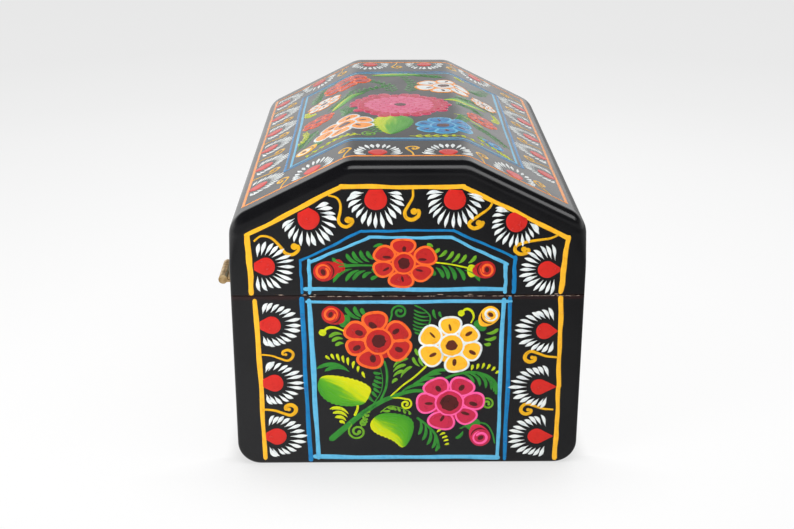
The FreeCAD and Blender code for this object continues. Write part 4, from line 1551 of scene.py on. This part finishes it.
def floor_finish():
    """White floor: a glow for what is seen, another for what is mirrored, and a lit part that takes
    shadows. Far from the box only the glow is seen."""
    finish, tree, shader = new_finish("studio_floor")
    place = node(tree, "ShaderNodeTexCoord").outputs["Object"]
    apart = node(tree, "ShaderNodeSeparateXYZ", {"Vector": place})
    along, across = apart.outputs["X"], apart.outputs["Y"]
    away = node(tree, "ShaderNodeVectorMath", {0: place}, operation="LENGTH").outputs["Value"]
    shader.inputs["Base Color"].default_value = (0.96, 0.96, 0.96, 1)
    shader.inputs["Roughness"].default_value = 0.3
    path = node(tree, "ShaderNodeLightPath")
    glow_share = between(tree, away, 0.9, 1.0, start=0.2, end=0.42)
    seen = arithmetic(tree, "MULTIPLY", path.outputs["Is Camera Ray"], glow_share)
    plain = {0: seen, 1: shader.outputs[0], 2: seen_glow(tree, along, away)}
    shown = node(tree, "ShaderNodeMixShader", plain).outputs[0]
    mirror = {0: mirror_rays(tree, path), 1: shown, 2: mirrored_glow(tree, along, across)}
    whole = node(tree, "ShaderNodeMixShader", mirror).outputs[0]
    tree.links.new(whole, tree.nodes["Material Output"].inputs["Surface"])
    return finish


floor_reach = 4.0
floor_points = 9
floor_side = np.linspace(-floor_reach, floor_reach, floor_points)
floor_along, floor_across = np.meshgrid(floor_side, floor_side, indexing="ij")
floor_grid = np.stack([floor_along, floor_across, np.full_like(floor_along, -coat * MM)], -1)
floor_mesh = bpy.data.meshes.new("studio_floor")
floor_mesh.from_pydata(floor_grid.reshape(-1, 3), [], grid_faces(floor_points, floor_points, 0))
floor_mesh.materials.append(floor_finish())
floor = bpy.data.objects.new("studio_floor", floor_mesh)
bpy.context.scene.collection.objects.link(floor)
print("floor", 2 * floor_reach, "m wide")

# %% [markdown]
# ## Light
# A wide soft lamp hangs above the near end, a small one stands in front at the left, and another behind
# lights the far end. The two low lamps are hidden from mirrors, so that the lacquer shows no bright
# squares. The surroundings add even white light, which keeps the paint's colours true. In the lacquer
# they are white near the horizon, which gives the pale haze that it has at a grazing angle, and dark
# overhead, so that the rounded edges stay black with one bright line.

# %% Surroundings and lamps
def surroundings():
    """The world: even white light for the paint's colours, a pale wall where it is seen, and for what is
    mirrored a bright horizon under a dark ceiling, dimmer towards the camera."""
    world = bpy.data.worlds.new("studio")
    world.use_nodes = True
    tree = world.node_tree
    direction = node(tree, "ShaderNodeTexCoord").outputs["Generated"]
    apart = node(tree, "ShaderNodeSeparateXYZ", {"Vector": direction})
    greys = [(0.0, 0.98), (0.2, 0.97), (0.235, 0.78), (0.26, 0.56), (0.29, 0.42), (0.36, 0.2), (0.46, 0.03),
             (1.0, 0.02)]
    above = grey_ramp(tree, apart.outputs["Z"], greys)
    behind = between(tree, apart.outputs["X"], 0.3, 1.0, start=-0.3, end=0.2)
    ceiling = mixed(tree, behind, (0, 0, 0, 1), above)
    mirrored = node(tree, "ShaderNodeBackground", {"Color": ceiling}).outputs[0]
    wall = node(tree, "ShaderNodeBackground", {"Color": (0.81, 0.81, 0.81, 1)}).outputs[0]
    light = tree.nodes["Background"]
    light.inputs["Color"].default_value = (1, 1, 1, 1)
    light.inputs["Strength"].default_value = 0.28
    path = node(tree, "ShaderNodeLightPath")
    bounced = {0: mirror_rays(tree, path), 1: light.outputs[0], 2: mirrored}
    unseen = node(tree, "ShaderNodeMixShader", bounced).outputs[0]
    seen = {0: path.outputs["Is Camera Ray"], 1: unseen, 2: wall}
    whole = node(tree, "ShaderNodeMixShader", seen).outputs[0]
    tree.links.new(whole, tree.nodes["World Output"].inputs["Surface"])
    bpy.context.scene.world = world


def soft_lamp(name, place, aim, wide, high, watts):
    """A rectangular soft lamp that looks at a point, with its wide side lying across the box."""
    lamp = bpy.data.lights.new(name, "AREA")
    lamp.shape = "RECTANGLE"
    lamp.size = wide
    lamp.size_y = high
    lamp.energy = watts
    holder = bpy.data.objects.new(name, lamp)
    holder.location = place
    holder.rotation_mode = "QUATERNION"
    back = (Vector(place) - Vector(aim)).normalized()
    wide_way = (Vector((0, 1, 0)) - back * back.y).normalized()
    high_way = back.cross(wide_way)
    holder.rotation_quaternion = Matrix((wide_way, high_way, back)).transposed().to_quaternion()
    bpy.context.scene.collection.objects.link(holder)
    return holder


surroundings()
key_lamp = soft_lamp("key_lamp", (-0.36, -0.3, 0.92), (-0.04, 0, 0.08), wide=1.4, high=0.44, watts=6.5)
front_lamp = soft_lamp("front_lamp", (-0.36, 0.44, 0.27), (-0.08, 0, 0.05), wide=0.3, high=0.3, watts=2.7)
back_lamp = soft_lamp("back_lamp", (0.75, -0.25, 0.25), (0.08, 0, 0.05), wide=0.4, high=0.4, watts=3.4)
for lamp in (front_lamp, back_lamp):
    lamp.visible_glossy = False
print("lamps:", [lamp.data.energy for lamp in (key_lamp, front_lamp, back_lamp)], "watts")

# %% [markdown]
# ## The camera
# The photograph was taken from a little above, straight at the end of the box. The picture is 794 pixels
# wide, and the lens is given by how many pixels wide one unit of distance looks from one unit away.

# %% Camera
picture_width = 794
lens_pixels = 1274
camera_tilt = math.radians(20.79)
camera_yaw = math.radians(-0.63)
camera_gap = 0.4
camera_aside = 0.0081
camera_height = 0.2276

camera_data = bpy.data.cameras.new("camera")
camera_data.sensor_width = 36
camera_data.lens = lens_pixels / picture_width * camera_data.sensor_width
camera = bpy.data.objects.new("camera", camera_data)
camera.location = (-half_length * MM - camera_gap, camera_aside, camera_height)
camera.rotation_mode = "QUATERNION"
level_reach = math.cos(camera_tilt)
view_direction = Vector((level_reach * math.cos(camera_yaw), level_reach * math.sin(camera_yaw),
                         -math.sin(camera_tilt)))
camera.rotation_quaternion = view_direction.to_track_quat("-Z", "Y")
bpy.context.scene.collection.objects.link(camera)
bpy.context.scene.camera = camera
bpy.context.scene.view_settings.view_transform = "Standard"
print("camera lens", round(camera_data.lens, 1), "mm at", [round(value, 3) for value in camera.location])
